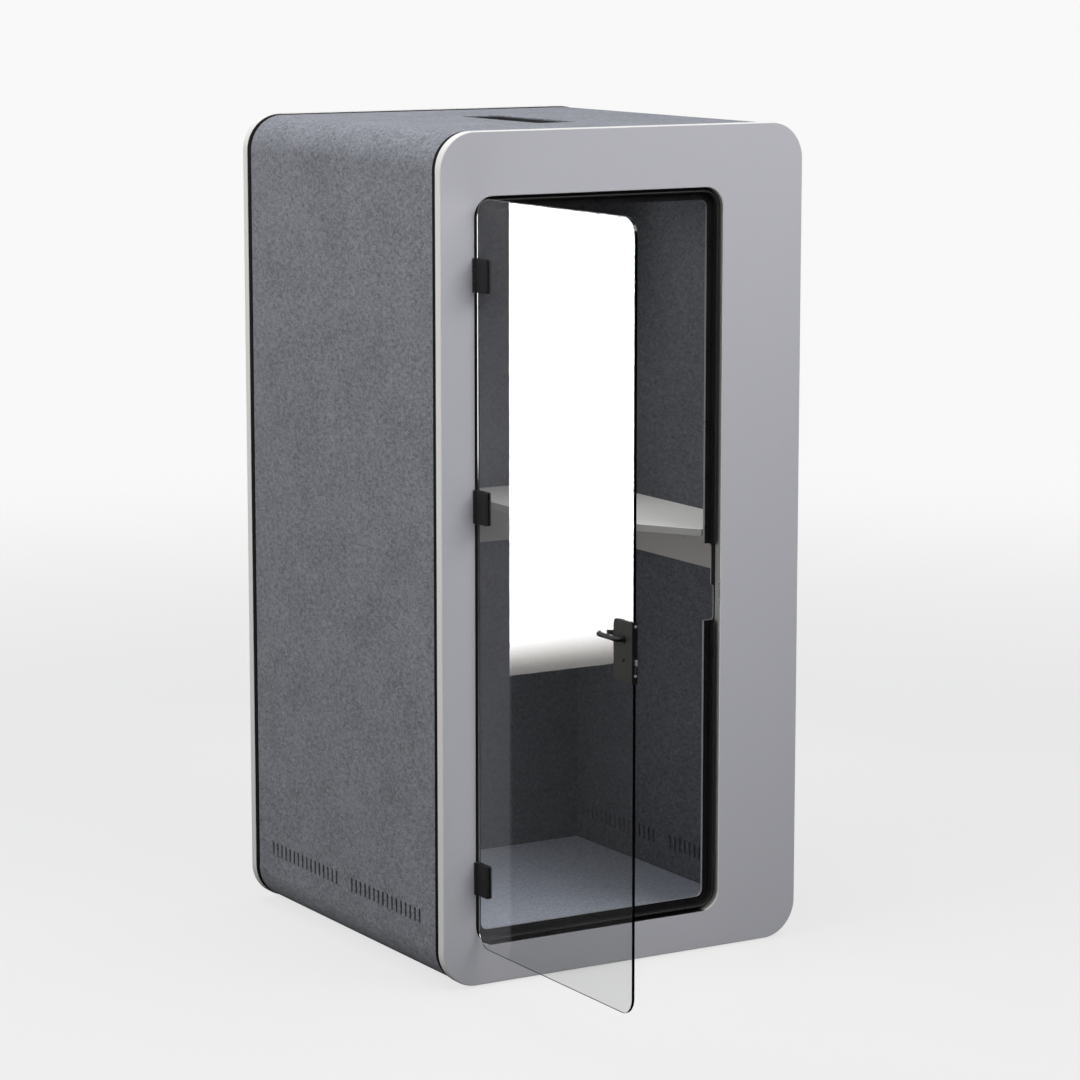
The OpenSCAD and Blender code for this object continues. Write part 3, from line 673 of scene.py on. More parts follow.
class Stock:
    """The finishes of this pod."""

    OUTER_FELT = Felt("felt_grey", (0.2, 0.206, 0.226), 0.42, 0.1)
    # the outer felt's colour darkened for the lining: partly a darker felt, partly painted shade of the
    # closed cabin
    INNER_FELT_AND_SHADE = Felt("felt_dark_and_shade", (0.11, 0.114, 0.127), 0.34, 0.05)
    CARPET = Pile("carpet_blue_grey", (0.39, 0.42, 0.49))
    LAMINATE = Board("laminate_grey", (0.355, 0.35, 0.36), 0.38)
    EDGE = Board("board_off_white", (0.78, 0.765, 0.73), 0.4, 0.02)
    # the off-white edge's hue darkened for the doorway reveal: partly a grey reveal, partly painted shade of
    # the recess
    REVEAL_AND_SHADE = Board("reveal_grey_and_shade", (0.3, 0.295, 0.285), 0.45, 0.03)
    DESK = Board("desk_light_grey", (0.74, 0.73, 0.715), 0.4)
    # darker grey for the desk's edge faces: painted shade of the sides under the lit top
    DESK_EDGE_SHADE = Board("desk_edge_painted_shade", (0.34, 0.335, 0.325), 0.45)
    CLEAT = Board("cleat_taupe", (0.5, 0.475, 0.445), 0.6, 0.05, 0.0002)
    CARCASS = Wood("carcass_board", (0.45, 0.34, 0.22))
    CORE = Felt("core_filling", (0.07, 0.07, 0.07))
    METAL = Coat("metal_black", (0.016, 0.016, 0.018), 0.42)
    FRAME = Coat("frame_black", (0.008, 0.008, 0.009), 0.3)
    # lighter grey on the black frame's edges: a painted highlight
    LIP_HIGHLIGHT = Coat("lip_painted_highlight", (0.24, 0.24, 0.245), 0.32)
    LEVER = Coat("lever_black", (0.006, 0.006, 0.006), 0.24)
    FOREND = Coat("forend_black", (0.006, 0.006, 0.006), 0.4, gloss=0.3)
    HINGE = Coat("hinge_black", (0.011, 0.011, 0.012), 0.55, gloss=0.3)
    LOCK = Coat("lock_olive_black", (0.025, 0.025, 0.021), 0.45, gloss=0.4)
    # near-black spacers: partly their own black, partly painted shade of the gap behind the panels
    SHADOW = Coat("spacer_black_and_shade", (0.004, 0.004, 0.004), 0.7, gloss=0.1)
    RUBBER = Coat("rubber_black", (0.009, 0.009, 0.009), 0.5, 0.0, 500)
    PLASTIC = Coat("plastic_black", (0.02, 0.02, 0.021), 0.5)
    WHITE = Coat("plastic_white", (0.78, 0.78, 0.78), 0.45)
    OPAL = Board("diffuser_opal", (0.86, 0.86, 0.85), 0.5, 0.01)
    STEEL = Brushed("steel_brushed", (0.78, 0.78, 0.79))
    # brushed steel made darker: painted shade for the dim dead bolt
    STEEL_SHADED = Brushed("steel_painted_shade", (0.16, 0.16, 0.16))
    GLASS = Glazing("glass_clear", (0.885, 0.888, 0.89))
    # near-black glass for the door's rim: painted shade for the dark look of a glass edge
    GLASS_RIM_SHADE = Glazing("glass_rim_painted_shade", (0.05, 0.055, 0.055))


def dress(obj: Object, finish: Finish) -> None:
    """Gives a piece or a CAD node one finish all over."""
    obj.data.materials.clear()
    obj.data.materials.append(finish.material())


def place(obj: Object, finish: Finish, body: str, slot: str, node: str) -> None:
    """Dresses a finished piece, seats it on its body and lets it stand for a CAD node.

    Args:
        obj: the piece.
        finish: its finish.
        body: the CAD body that it rides on.
        slot: the record's material slot; not used.
        node: the CAD node that it stands for.
    """
    dress(obj, finish)
    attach(obj, body)
    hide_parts(node)
    log.info("piece %s on %s, %d faces", obj.name, body, len(obj.data.polygons))


def adopt(name: str, node: str, width: float, finish: Finish, slot: str, body: str = "pod",
          steps: int = 2) -> None:
    """Places a rounded copy of a CAD node in its stead."""
    place(copy_node(name, node, width, steps), finish, body, slot, node)


def second_finish(obj: Object, finish: Finish, test: Callable) -> None:
    """Gives some faces of a dressed piece another finish.

    Args:
        obj: the piece.
        finish: the other finish.
        test: takes one face and says whether it gets it.
    """
    obj.data.materials.append(finish.material())
    for face in obj.data.polygons:
        if test(face):
            face.material_index = len(obj.data.materials) - 1


# Sub-assemblies


@dataclass
class Outline:
    """The body's outline and its doorway, seen from the door side."""

    half: float = 0.547
    low: float = 0.006
    high: float = 2.206
    radius: float = 0.098
    way_left: float = -0.449
    way_right: float = 0.2984
    way_low: float = 0.109
    way_high: float = 2.043
    way_radius: float = 0.054

    def body(self, name: str, front: float, back: float, inset: float) -> Object:
        """Adds a plate of the body's outline.

        Args:
            name: its name.
            front: where its front face lies.
            back: where its back face lies.
            inset: how far it is drawn in.

        Returns:
            The new object.
        """
        edge = self.half - inset
        return slab(name, Axis.Y, (-edge, front, self.low + inset), (edge, back, self.high - inset),
                    self.radius - inset, 24)

    def way(self, name: str, front: float, back: float, inset: float) -> Object:
        """Adds a plate of the doorway's outline, drawn in by an inset."""
        return slab(name, Axis.Y, (self.way_left + inset, front, self.way_low + inset),
                    (self.way_right - inset, back, self.way_high - inset), self.way_radius - inset, 16)

    def way_inset(self, at: Vector) -> float:
        """Measures how far inside the doorway's rounded outline a point lies.

        Args:
            at: the point.

        Returns:
            Distance to the outline, negative outside it.
        """
        side = min(at.x - self.way_left, self.way_right - at.x)
        rise = min(at.z - self.way_low, self.way_high - at.z)
        if side >= self.way_radius or rise >= self.way_radius:
            return min(side, rise)
        return self.way_radius - math.hypot(self.way_radius - side, self.way_radius - rise)


@dataclass
class Panels:
    """Thick front and rear panels with a laminate face and a white rounded edge."""

    outline: Outline
    face: float = 0.551
    board: float = 0.026
    skin: float = 0.001
    edge: float = 0.0028
    margin: float = 0.0022
    way_edge: float = 0.0012
    hinge: Pair = (-0.450, -0.554)
    relief: Pair = (0.0065, 0.087)
    bolts: Pair = (0.966, 0.984)
    mouth_across: Pair = (0.29, 0.3124)
    mouth_deep: Pair = (-0.5488, -0.5422)
    mouth_half: float = 0.0078
    pocket: tuple[Triple, Triple] = ((0.29, -0.5496, 0.9440), (0.3004, -0.5414, 1.0060))
    reach: float = 0.016

    def in_way(self, at: Vector) -> bool:
        """Tells whether a point lies in the doorway or on its edge."""
        way, reach = self.outline, self.reach
        return (way.way_left - reach < at.x < way.way_right + reach
                and way.way_low - reach < at.z < way.way_high + reach)

    def reliefs(self) -> list[Object]:
        """Makes the cutters for the hinge knuckles."""
        return [drum("relief", Axis.Z, (*self.hinge, z), *self.relief) for z in HINGE_LEVELS.values()]

    def skin_over(self, side: str, front: float, back: float, hole: Object | None = None) -> None:
        """Builds the laminate on a panel.

        Args:
            side: front or rear.
            front: where its front face lies.
            back: where its back face lies.
            hole: the doorway's cutter, on the front panel.
        """
        skin = self.outline.body(f"laminate_{side}", front, back, self.margin)
        if hole:
            cut(skin, hole)
            cut(skin, *self.reliefs())
        place(soften(skin, 0.0004), Stock.LAMINATE, "pod", "laminate_grey", f"{side}_laminate")

    def front(self) -> None:
        """Builds the front panel round the doorway."""
        front, back = -self.face + self.skin, -self.face + self.skin + self.board
        board = self.outline.body("panel_front", front, back, 0)
        bevel(board, level(Axis.Y, front), self.edge, 4)
        cut(board, self.outline.way("hole", front - 0.02, back + 0.02, 0))
        bevel(board, lambda e: level(Axis.Y, front)(e) and self.in_way(e.verts[0].co)
              and self.in_way(e.verts[1].co), self.way_edge, 3)
        bevel(board, level(Axis.Y, back), 0.001, 2)
        cut(board, *self.reliefs())
        cut(board, box("pocket", *self.pocket))
        (left, right), (near, far), half = self.mouth_across, self.mouth_deep, self.mouth_half
        cut(board, *(box("mouth", (left, near, z - half), (right, far, z + half)) for z in self.bolts))
        even(board, 40)
        place(board, Stock.EDGE, "pod", "board_white", "front_board")
        # the reveal faces get the darker grey, partly painted shade of the recessed doorway
        second_finish(board, Stock.REVEAL_AND_SHADE, lambda f: abs(f.normal.y) < 0.2 and self.in_way(f.center))
        second_finish(board, Stock.FRAME, lambda f: f.normal.z > 0.25 and self.in_way(f.center)
                      and f.center.z < self.outline.way_low + 0.001)
        self.skin_over("front", -self.face, front + 0.0001, self.outline.way("hole", -self.face - 0.02, back,
                                                                            -self.way_edge))

    def rear(self) -> None:
        """Builds the closed rear panel."""
        back, front = self.face - self.skin, self.face - self.skin - self.board
        board = self.outline.body("panel_rear", front, back, 0)
        bevel(board, level(Axis.Y, back), self.edge, 4)
        bevel(board, level(Axis.Y, front), 0.001, 2)
        even(board, 40)
        place(board, Stock.EDGE, "pod", "board_white", "rear_board")
        self.skin_over("rear", back - 0.0001, self.face)


@dataclass
class Slots:
    """Rows of air slots low in the side walls."""

    width: float = 0.009
    height: float = 0.040
    pitch: float = 0.025
    count: int = 16
    group_pitch: float = 0.463

    def cutter(self, left: float, right: float, foot: float) -> Object:
        """Makes both groups of slots as one cutter through the side walls.

        Args:
            left: where the cutter starts.
            right: where it ends.
            foot: the slots' lower end.

        Returns:
            The cutter.
        """
        start = -self.group_pitch / 2 - (self.count - 1) / 2 * self.pitch
        bar = slab("slots", Axis.X, (left, start - self.width / 2, foot),
                   (right, start + self.width / 2, foot + self.height), self.width / 2 - 0.0001, 6)
        repeat(bar, self.count, (0, self.pitch, 0))
        return repeat(bar, 2, (0, self.group_pitch, 0))


@dataclass
class Shell:
    """Felt wrapped round the sides, roof and underside."""

    outline: Outline
    slots: Slots
    inset: float = 0.003
    felt: float = 0.005
    stud: Pair = (0.357, 0.361)
    foot: float = 0.153
    hatch: tuple[Triple, Triple] = ((-0.072, -0.231, 2.15), (0.052, 0.191, 2.25))

    def build(self) -> None:
        """Builds the felt with its slots, roof opening and soft borders."""
        felt = self.outline.body("felt_shell", SHELL_FRONT, -SHELL_FRONT, self.inset)
        pierce(felt, self.felt)
        cut(felt, self.slots.cutter(-0.6, 0.6, self.foot))
        cut(felt, slab("hatch", Axis.Z, *self.hatch, 0.008, 6))
        x, y = self.stud
        cut(felt, *(drum("stud", Axis.Z, (i * x, j * y, 0), 0.006, 0.1, 24)
                    for i in (-1, 1) for j in (-1, 1)))
        place(soften(felt, 0.0016, 3), Stock.OUTER_FELT, "pod", "felt_outer", "outer_felt")


@dataclass
class Cabin:
    """Felt-faced lining panels and the carpet."""

    slots: Slots
    outline: Outline
    half: float = 0.472
    front: float = -0.493
    back: float = 0.451
    floor: float = 0.070
    ceiling: float = 2.131
    lining: float = 0.012
    soft: float = 0.0022
    foot: float = 0.142
    pile: float = 0.076
    grille: float = 0.044
    slit_pitch: float = 0.014
    slit: Pair = (-0.013, -0.007)
    lamp: Triple = (0.236, 0, 2.13)

    def panel(self, name: str, node: str, low: Triple, high: Triple, *cutters: Object) -> None:
        """Builds one lining panel with soft edges.

        Args:
            name: its name.
            node: the CAD node that it stands for.
            low: lowest corner.
            high: highest corner.
            *cutters: what is cut out of it.
        """
        obj = box(name, low, high)
        if cutters:
            cut(obj, *cutters)
        # the lining's darker felt colour is partly painted shade of the cabin
        place(soften(obj, self.soft, 3), Stock.INNER_FELT_AND_SHADE, "pod", "felt_inner", node)

    def build(self) -> None:
        """Builds walls, ceiling, front lining and carpet."""
        h, t = self.half, self.lining
        for side, name in ((-1, "left"), (1, "right")):
            low, high = sorted((side * h, side * (h + t)))
            self.panel(f"felt_wall_{name}", f"lining_{name}", (low, SHELL_FRONT, self.floor),
                       (high, self.back, self.ceiling), self.slots.cutter(low - 0.02, high + 0.02, self.foot))
        self.panel("felt_wall_rear", "lining_rear", (-h - t, self.back, self.floor),
                   (h + t, self.back + t, self.ceiling + t))
        self.panel("felt_wall_front", "lining_front", (-h, SHELL_FRONT, self.floor),
                   (h, self.front, self.ceiling),
                   self.outline.way("hole", -0.6, -0.4, -0.010))
        grilles = []
        for y in FAN_Y.values():
            for x in (i * self.slit_pitch for i in range(-3, 4)):
                reach = math.sqrt(self.grille**2 - x**2)
                grilles.append(box("slit", (self.slit[0] + x, y - reach, 2.1),
                                   (self.slit[1] + x, y + reach, 2.2)))
        grilles.append(drum("lamp_hole", Axis.Z, self.lamp, 0.0283, 0.1))
        self.panel("felt_ceiling", "lining_ceiling", (-h - t, SHELL_FRONT, self.ceiling),
                   (h + t, self.back, self.ceiling + t), *grilles)
        carpet = box("carpet_tile", (-h, self.front, self.floor), (h, self.back, self.pile))
        place(soften(carpet, 0.0015, 3), Stock.CARPET, "pod", "carpet", "carpet")


@dataclass
class DoorFrame:
    """Dark metal frame with its lip, keep recess, seal and keep plate."""

    outline: Outline
    front: float = -0.524
    flange_back: float = -0.520
    lip_back: float = -0.516
    lip: float = 0.034
    step: Pair = (-0.036, 0.014)
    grooves: tuple[Pair, Pair] = ((0.0285, 0.0305), (0.0160, 0.0178))
    groove: float = 0.0014
    over: float = 0.01
    keep: Pair = (0.894, 1.101)
    keep_left: float = 0.23
    keep_rights: Pair = (0.2864, 0.2944)
    keep_bend: float = 0.009
    keep_mid: float = 0.990
    recess: Pair = (0.262, 0.2955)
    slack: float = 0.0005
    through: Pair = (-0.53, -0.51)
    seal: Triple = (-0.5427, 0.008, 0.014)
    crease: tuple[float, ...] = (-0.5345, -0.5325, 0.0128, 0.020)
    break_deep: Pair = (-0.56, -0.51)
    break_left: Pair = (-0.46, -0.41)
    break_right: Pair = (0.25, 0.31)
    break_half: float = 0.0475

    def ring(self, name: str, front: float, back: float, outer: float, inner: float) -> Object:
        """Adds a ring that follows the doorway."""
        return pierce(self.outline.way(name, front, back, outer), inner - outer)

    def on_painted_highlight(self, face: bpy.types.MeshPolygon) -> bool:
        """Tells whether a face gets the painted highlight: the frame's inner edge or the keep recess."""
        at, inset = face.center, self.outline.way_inset(face.center)
        beside = self.keep[0] - self.slack < at.z < self.keep[1] + self.slack
        recess = self.recess[0] < at.x < self.recess[1] and beside and inset > 0.003
        return abs(face.normal.y) <= 0.75 and (recess or abs(inset - self.lip) < 0.0008)

    def gap(self, across: Pair, low: float, high: float) -> Object:
        """Makes a cutter that breaks the seal."""
        near, far = self.break_deep
        return box("break", (across[0], near, low), (across[1], far, high))

    def build(self) -> None:
        """Builds frame, seal and keep plate."""
        frame = self.ring("frame_ring", self.front, self.lip_back, -0.026, self.lip)
        cut(frame, self.ring("step", self.flange_back, self.lip_back + self.over, *self.step))
        cut(frame, *(self.ring("groove", self.front - self.over, self.front + self.groove, *groove)
                     for groove in self.grooves))
        (foot, head), (near, far), bend = self.keep, self.through, self.keep_bend
        shallow, deep = self.keep_rights
        for right, low, high in ((shallow, foot + bend, head), (deep, foot, self.keep_mid)):
            cut(frame, slab("keep", Axis.Y, (self.keep_left, near, low), (right, far, high), bend, 6))
        place(soften(frame, 0.001, 3), Stock.FRAME, "pod", "black_metal", "door_frame")
        # the inner edge and the keep recess get a lighter grey, a painted highlight
        second_finish(frame, Stock.LIP_HIGHLIGHT, self.on_painted_highlight)
        tip, outer, inner = self.seal
        seal = self.ring("seal_ring", tip, self.front, outer, inner)
        bevel(seal, level(Axis.Y, tip), 0.0026, 5)
        cut(seal, self.ring("crease", *self.crease))
        half = self.break_half
        cut(seal, *(self.gap(self.break_left, z - half, z + half) for z in HINGE_LEVELS.values()),
            self.gap(self.break_right, foot, head))
        place(smooth(seal, 40), Stock.RUBBER, "pod", "rubber", "door_seal")
        # the keep plate takes the reveal's darker grey, partly painted shade
        adopt("keep_plate", "strike_plate", 0.0004, Stock.REVEAL_AND_SHADE, "steel")


@dataclass
class Leaf:
    """The door's own frame at rest: its width runs to the front, its thickness to the right."""

    hinge_x: float = -0.450
    hinge_y: float = -0.554

    def span(self, across: Pair, deep: Pair, up: Pair) -> tuple[Triple, Triple]:
        """Turns a block from the door's frame into the pod's."""
        return ((self.hinge_x + deep[0], self.hinge_y - across[1], up[0]),
                (self.hinge_x + deep[1], self.hinge_y - across[0], up[1]))

    def point(self, across: float, deep: float, up: float) -> Triple:
        """Turns a point from the door's frame into the pod's."""
        return self.hinge_x + deep, self.hinge_y - across, up

    def screw_holes(self, z: float, deep: float, radius: float) -> list[Object]:
        """Makes the cutters for a hinge's two clamp screws."""
        return [drum("hole", Axis.X, self.point(0.0325, deep, z + side * HINGE_SCREW), radius, 0.02, 32)
                for side in (-1, 1)]

    def notch(self, start: float, end: float) -> Object:
        """Makes the cutter for the lock's notch, from and to a depth in the door."""
        return slab("notch", Axis.X, *self.span(NOTCH[0], (start, end), NOTCH[1]), 0.008, 6)


@dataclass
class GlassDoor:
    """Frameless glass leaf with polished edges."""

    leaf: Leaf
    radius: float = 0.046
    arris: float = 0.0012

    def build(self) -> None:
        """Builds the glass with its holes and the lock's notch."""
        low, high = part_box("glass_door")
        glass = slab("glass_leaf", Axis.X, low, high, self.radius, 20)
        cut(glass, *(hole for z in HINGE_LEVELS.values() for hole in self.leaf.screw_holes(z, 0.007, 0.004)))
        cut(glass, self.leaf.notch(-0.01, 0.02))
        place(soften(glass, self.arris), Stock.GLASS, "door", "glass", "glass_door")
        # the rim faces get near-black glass, a painted shade of the edge, which also darkens their cast
        # shadow
        second_finish(glass, Stock.GLASS_RIM_SHADE, lambda face: abs(face.normal.x) < 0.9)


@dataclass
class Hinges:
    """Three clamp hinges between the doorway and the glass."""

    leaf: Leaf
    height: float = 0.085
    across: Pair = (0.0065, 0.0585)
    outside: Pair = (-0.0025, 0.0025)
    inside: Pair = (0.0115, 0.0165)
    pin: float = 0.00255

    def plate(self, name: str, z: float, deep: Pair, face: int, edge: float) -> Object:
        """Builds a clamp plate with a rounded rim.

        Args:
            name: its name.
            z: the hinge's level.
            deep: from and to, through the door.
            face: which of the two is its outer face, 0 or 1.
            edge: radius of the rim.

        Returns:
            The new object.
        """
        corners = self.leaf.span(self.across, deep, (z - self.height / 2, z + self.height / 2))
        plate = slab(name, Axis.X, *corners, 0.004, 6)
        bevel(plate, level(Axis.X, corners[face][0]), edge, 3)
        return plate

    def pair(self, key: str, z: float) -> None:
        """Builds a hinge's outer plate with its knuckle, and its inner plate with its screw holes.

        Args:
            key: low, mid or top.
            z: the hinge's level.
        """
        third = self.height / 6 - 0.0003
        plate = self.plate("plate", z, self.outside, 0, 0.0011)
        arm = self.leaf.span((0, 0.0105), self.outside, (z - third, z + third))
        combine(plate, box("arm", *arm), "UNION")
        combine(plate, drum("knuckle", Axis.Z, self.leaf.point(0, 0, z), 0.0055, 2 * third, 48), "UNION")
        cut(plate, drum("bore", Axis.Z, self.leaf.point(0, 0, z), self.pin, 0.2, 32))
        plate.name = f"hinge_plate_outer_{key}"
        place(soften(plate, 0.0004), Stock.HINGE, "door", "black_metal", f"hinge_outer_{key}")
        plate = self.plate(f"hinge_plate_inner_{key}", z, self.inside, 1, 0.0012)
        cut(plate, *self.leaf.screw_holes(z, sum(self.inside) / 2, 0.00305))
        place(soften(plate, 0.0003), Stock.HINGE, "door", "black_metal", f"hinge_inner_{key}")

    def build(self) -> None:
        """Builds plates, leaves and pins."""
        for key, z in HINGE_LEVELS.items():
            self.pair(key, z)
            adopt(f"hinge_leaf_{key}_fixed", f"hinge_leaf_{key}", 0.0004, Stock.HINGE, "black_metal")
        adopt("hinge_pin_set", "hinge_pins", 0.0007, Stock.STEEL, "steel", steps=3)
        adopt("clamp_screw_set", "hinge_screws", 0.0006, Stock.METAL, "black_metal", "door", 3)


@dataclass
class Lock:
    """Lever lock of the glass door."""

    leaf: Leaf
    left: float = 0.6622
    right: float = 0.7457
    foot: float = 0.931
    head: float = 1.081
    lever: float = 0.7074
    lever_level: float = 1.036
    key_level: float = 0.985
    radius: float = 0.012
    bar: float = 0.005
    off: float = 0.016
    length: float = 0.094
    bend: float = 0.008
    returned: float = 0.010
    sunk: float = 0.0005
    stretch: float = 1.25
    outside: Pair = (-0.001, 0.0025)
    inside: Pair = (0.0115, 0.014)
    case_back: float = 0.01325
    rim: float = 0.0008
    lever_bore: float = 0.00805
    key_bore: float = 0.00505
    rose: tuple[float, ...] = (0.0014, 0.010, 0.0022, 0.0006)
    collar: tuple[float, ...] = (0.0035, 0.0068, 0.003, 0.0008)
    screws_at: Pair = (0.9514, 1.071)
    screw_place: Pair = (0.74635, 0.0085)
    screw_head: Pair = (0.0037, 0.0017)
    screw_cross: Pair = (0.0022, 0.0004)

    def cover(self, name: str, node: str, deep: Pair, outward: int) -> None:
        """Builds a cover with a rounded rim and the bores for lever and key.

        Args:
            name: its name.
            node: the CAD node that it stands for.
            deep: from and to, through the door.
            outward: -1 outside the door, 1 inside.
        """
        a, b = self.leaf.span((self.left, self.right), deep, (self.foot, self.head))
        cover = box(name, a, b)
        bevel(cover, lambda e: along(Axis.X)(e) and e.verts[0].co.y > b[1] - 1e-5, self.radius, 10)
        face = a[0] if outward < 0 else b[0]
        bevel(cover, level(Axis.X, face), self.rim, 4)
        cut(cover, *(drum("bore", Axis.X, self.leaf.point(self.lever, sum(deep) / 2, z), r, 0.05, 48)
                     for z, r in ((self.lever_level, self.lever_bore), (self.key_level, self.key_bore))))
        if outward > 0:
            cut(cover, self.leaf.notch(0.0, self.case_back))
        place(soften(cover, 0.0003), Stock.LOCK, "door", "lock_black", node)

    def handle(self, name: str, node: str, side: int, start: float) -> None:
        """Builds a lever handle as a bent round bar on a stepped rose.

        Args:
            name: its name.
            node: the CAD node that it stands for.
            side: -1 outside the door, 1 inside.
            start: the cover's face.
        """
        bar, bend, length = start + side * self.off, self.bend, self.length
        route = [(0, start + side * self.sunk), (0, bar - side * bend), (bend * 0.3, bar - side * bend * 0.3),
                 (bend, bar), (length - bend, bar), (length - bend * 0.3, bar - side * bend * 0.3),
                 (length, bar - side * bend), (length, bar - side * self.returned)]
        deselect()
        bpy.ops.curve.primitive_nurbs_path_add()
        path = named(name)
        spline = path.data.splines[0]
        spline.points.add(len(route) - len(spline.points))
        for point, (back, deep) in zip(spline.points, route):
            point.co = (*self.leaf.point(self.lever - back, deep, self.lever_level), 1)
        for owner, values in ((spline, {"order_u": 3, "use_endpoint_u": True, "resolution_u": 10}),
                              (path.data, {"bevel_depth": self.bar, "bevel_resolution": 6,
                                            "use_fill_caps": True})):
            for key, value in values.items():
                setattr(owner, key, value)
        path.location = (0, 0, 0)
        activate(path)
        bpy.ops.object.convert(target="MESH")
        bpy.ops.object.transform_apply(location=True, rotation=True, scale=True)
        stem = named(name)
        axis = self.leaf.point(self.lever, bar, self.lever_level)
        pick(stem, Part.VERT, lambda v: True)
        bpy.ops.transform.resize(value=(1, 1, self.stretch), center_override=axis)
        deselect()
        rings = [soften(drum(part, Axis.X, self.leaf.point(self.lever, start + side * lift, self.lever_level),
                             radius, thick, 48), edge)
                 for part, (lift, radius, thick, edge) in (("rose", self.rose), ("collar", self.collar))]
        piece = smooth(join(name, [stem, *rings]), 50)
        place(piece, Stock.LEVER, "lever", "black_metal", node)

    def screws(self) -> None:
        """Builds the forend's countersunk screws with cross recesses."""
        heads = []
        for z in self.screws_at:
            centre = Vector(self.leaf.point(*self.screw_place, z))
            head = drum("head", Axis.Y, centre, *self.screw_head, 32)
            for x, up in (self.screw_cross, self.screw_cross[::-1]):
                cut(head, box("arm", centre - Vector((x, 0.003, up)), centre - Vector((-x, 0.0003, -up))))
            heads.append(soften(head, 0.00025))
        place(join("forend_screw_pair", heads), Stock.STEEL, "door", "steel", "forend_screws")

    def build(self) -> None:
        """Builds covers, levers, forend, plug, knob and bolts."""
        self.cover("lock_cover_outside", "lock_outer_cover", self.outside, -1)
        self.cover("lock_cover_inside", "lock_inner_cover", self.inside, 1)
        self.handle("lever_outside", "outer_lever", -1, self.outside[0])
        self.handle("lever_inside", "inner_lever", 1, self.inside[1])
        self.screws()
        for name, node, width, finish, body, slot in (
            ("forend_plate", "forend", 0.0003, Stock.FOREND, "door", "lock_black"),
            ("key_plug", "key_cylinder", 0.0005, Stock.METAL, "key_turn", "steel"),
            ("turn_knob", "thumb_turn", 0.0012, Stock.METAL, "key_turn", "black_metal"),
            ("latch_head", "latch_bolt", 0.0006, Stock.STEEL, "latch", "steel"),
            # the dead bolt gets the darker copy of the steel, a painted shade
            ("dead_bolt_head", "dead_bolt", 0.0006, Stock.STEEL_SHADED, "dead_bolt", "steel"),
            ("lever_shaft", "lever_spindle", 0.0004, Stock.STEEL, "lever", "steel"),
        ):
            adopt(name, node, width, finish, slot, body)


@dataclass
class Desk:
    """Desk along the right wall, with its rails."""

    wall: float = 0.472
    left: float = 0.042
    front: float = -0.492
    back: float = 0.451
    front_left: float = 0.276
    turn: float = -0.101
    low: float = 1.115
    high: float = 1.134
    blend: float = 0.0442
    screw_place: Pair = (0.461, 1.048)
    screw_hole: Pair = (0.00305, 0.06)

    def build(self) -> None:
        """Builds the top with its slanted, blended edge, and the rails."""
        top = box("desk_board", (self.left, self.front, self.low), (self.wall, self.back, self.high))
        pick(top, Part.FACE, lambda f: True)
        across = Vector((self.front_left - self.left, self.front - self.turn, 0))
        normal = Vector((across.y, -across.x, 0)).normalized()
        bpy.ops.mesh.bisect(plane_co=(self.left, self.turn, 0), plane_no=normal, use_fill=True,
                            clear_outer=True)
        deselect()
        bevel(top, lambda e: along(Axis.Z)(e) and abs(e.verts[0].co.x - self.left) < 1e-4
              and abs(e.verts[0].co.y - self.turn) < 1e-4, self.blend, 24)
        place(soften(top, 0.0014, 3), Stock.DESK, "pod", "desk_laminate", "desk_top")
        # the edge faces get a darker grey than the top, a painted shade
        second_finish(top, Stock.DESK_EDGE_SHADE, lambda face: abs(face.normal.z) < 0.4)
        for name, node in (("desk_rail_side", "desk_side_cleat"), ("desk_rail_rear", "desk_rear_cleat")):
            low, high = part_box(node)
            rail = box(name, low, high)
            if node == "desk_side_cleat":
                span = (self.back - self.front) / 4
                x, z = self.screw_place
                cut(rail, *(drum("hole", Axis.X, (x, self.front + span * (i + 0.5), z), *self.screw_hole, 24)
                            for i in range(4)))
            place(soften(rail, 0.0012, 3), Stock.CLEAT, "pod", "cleat_paint", node)
        adopt("desk_screw_set", "cleat_screws", 0.0008, Stock.CLEAT, "steel", steps=3)


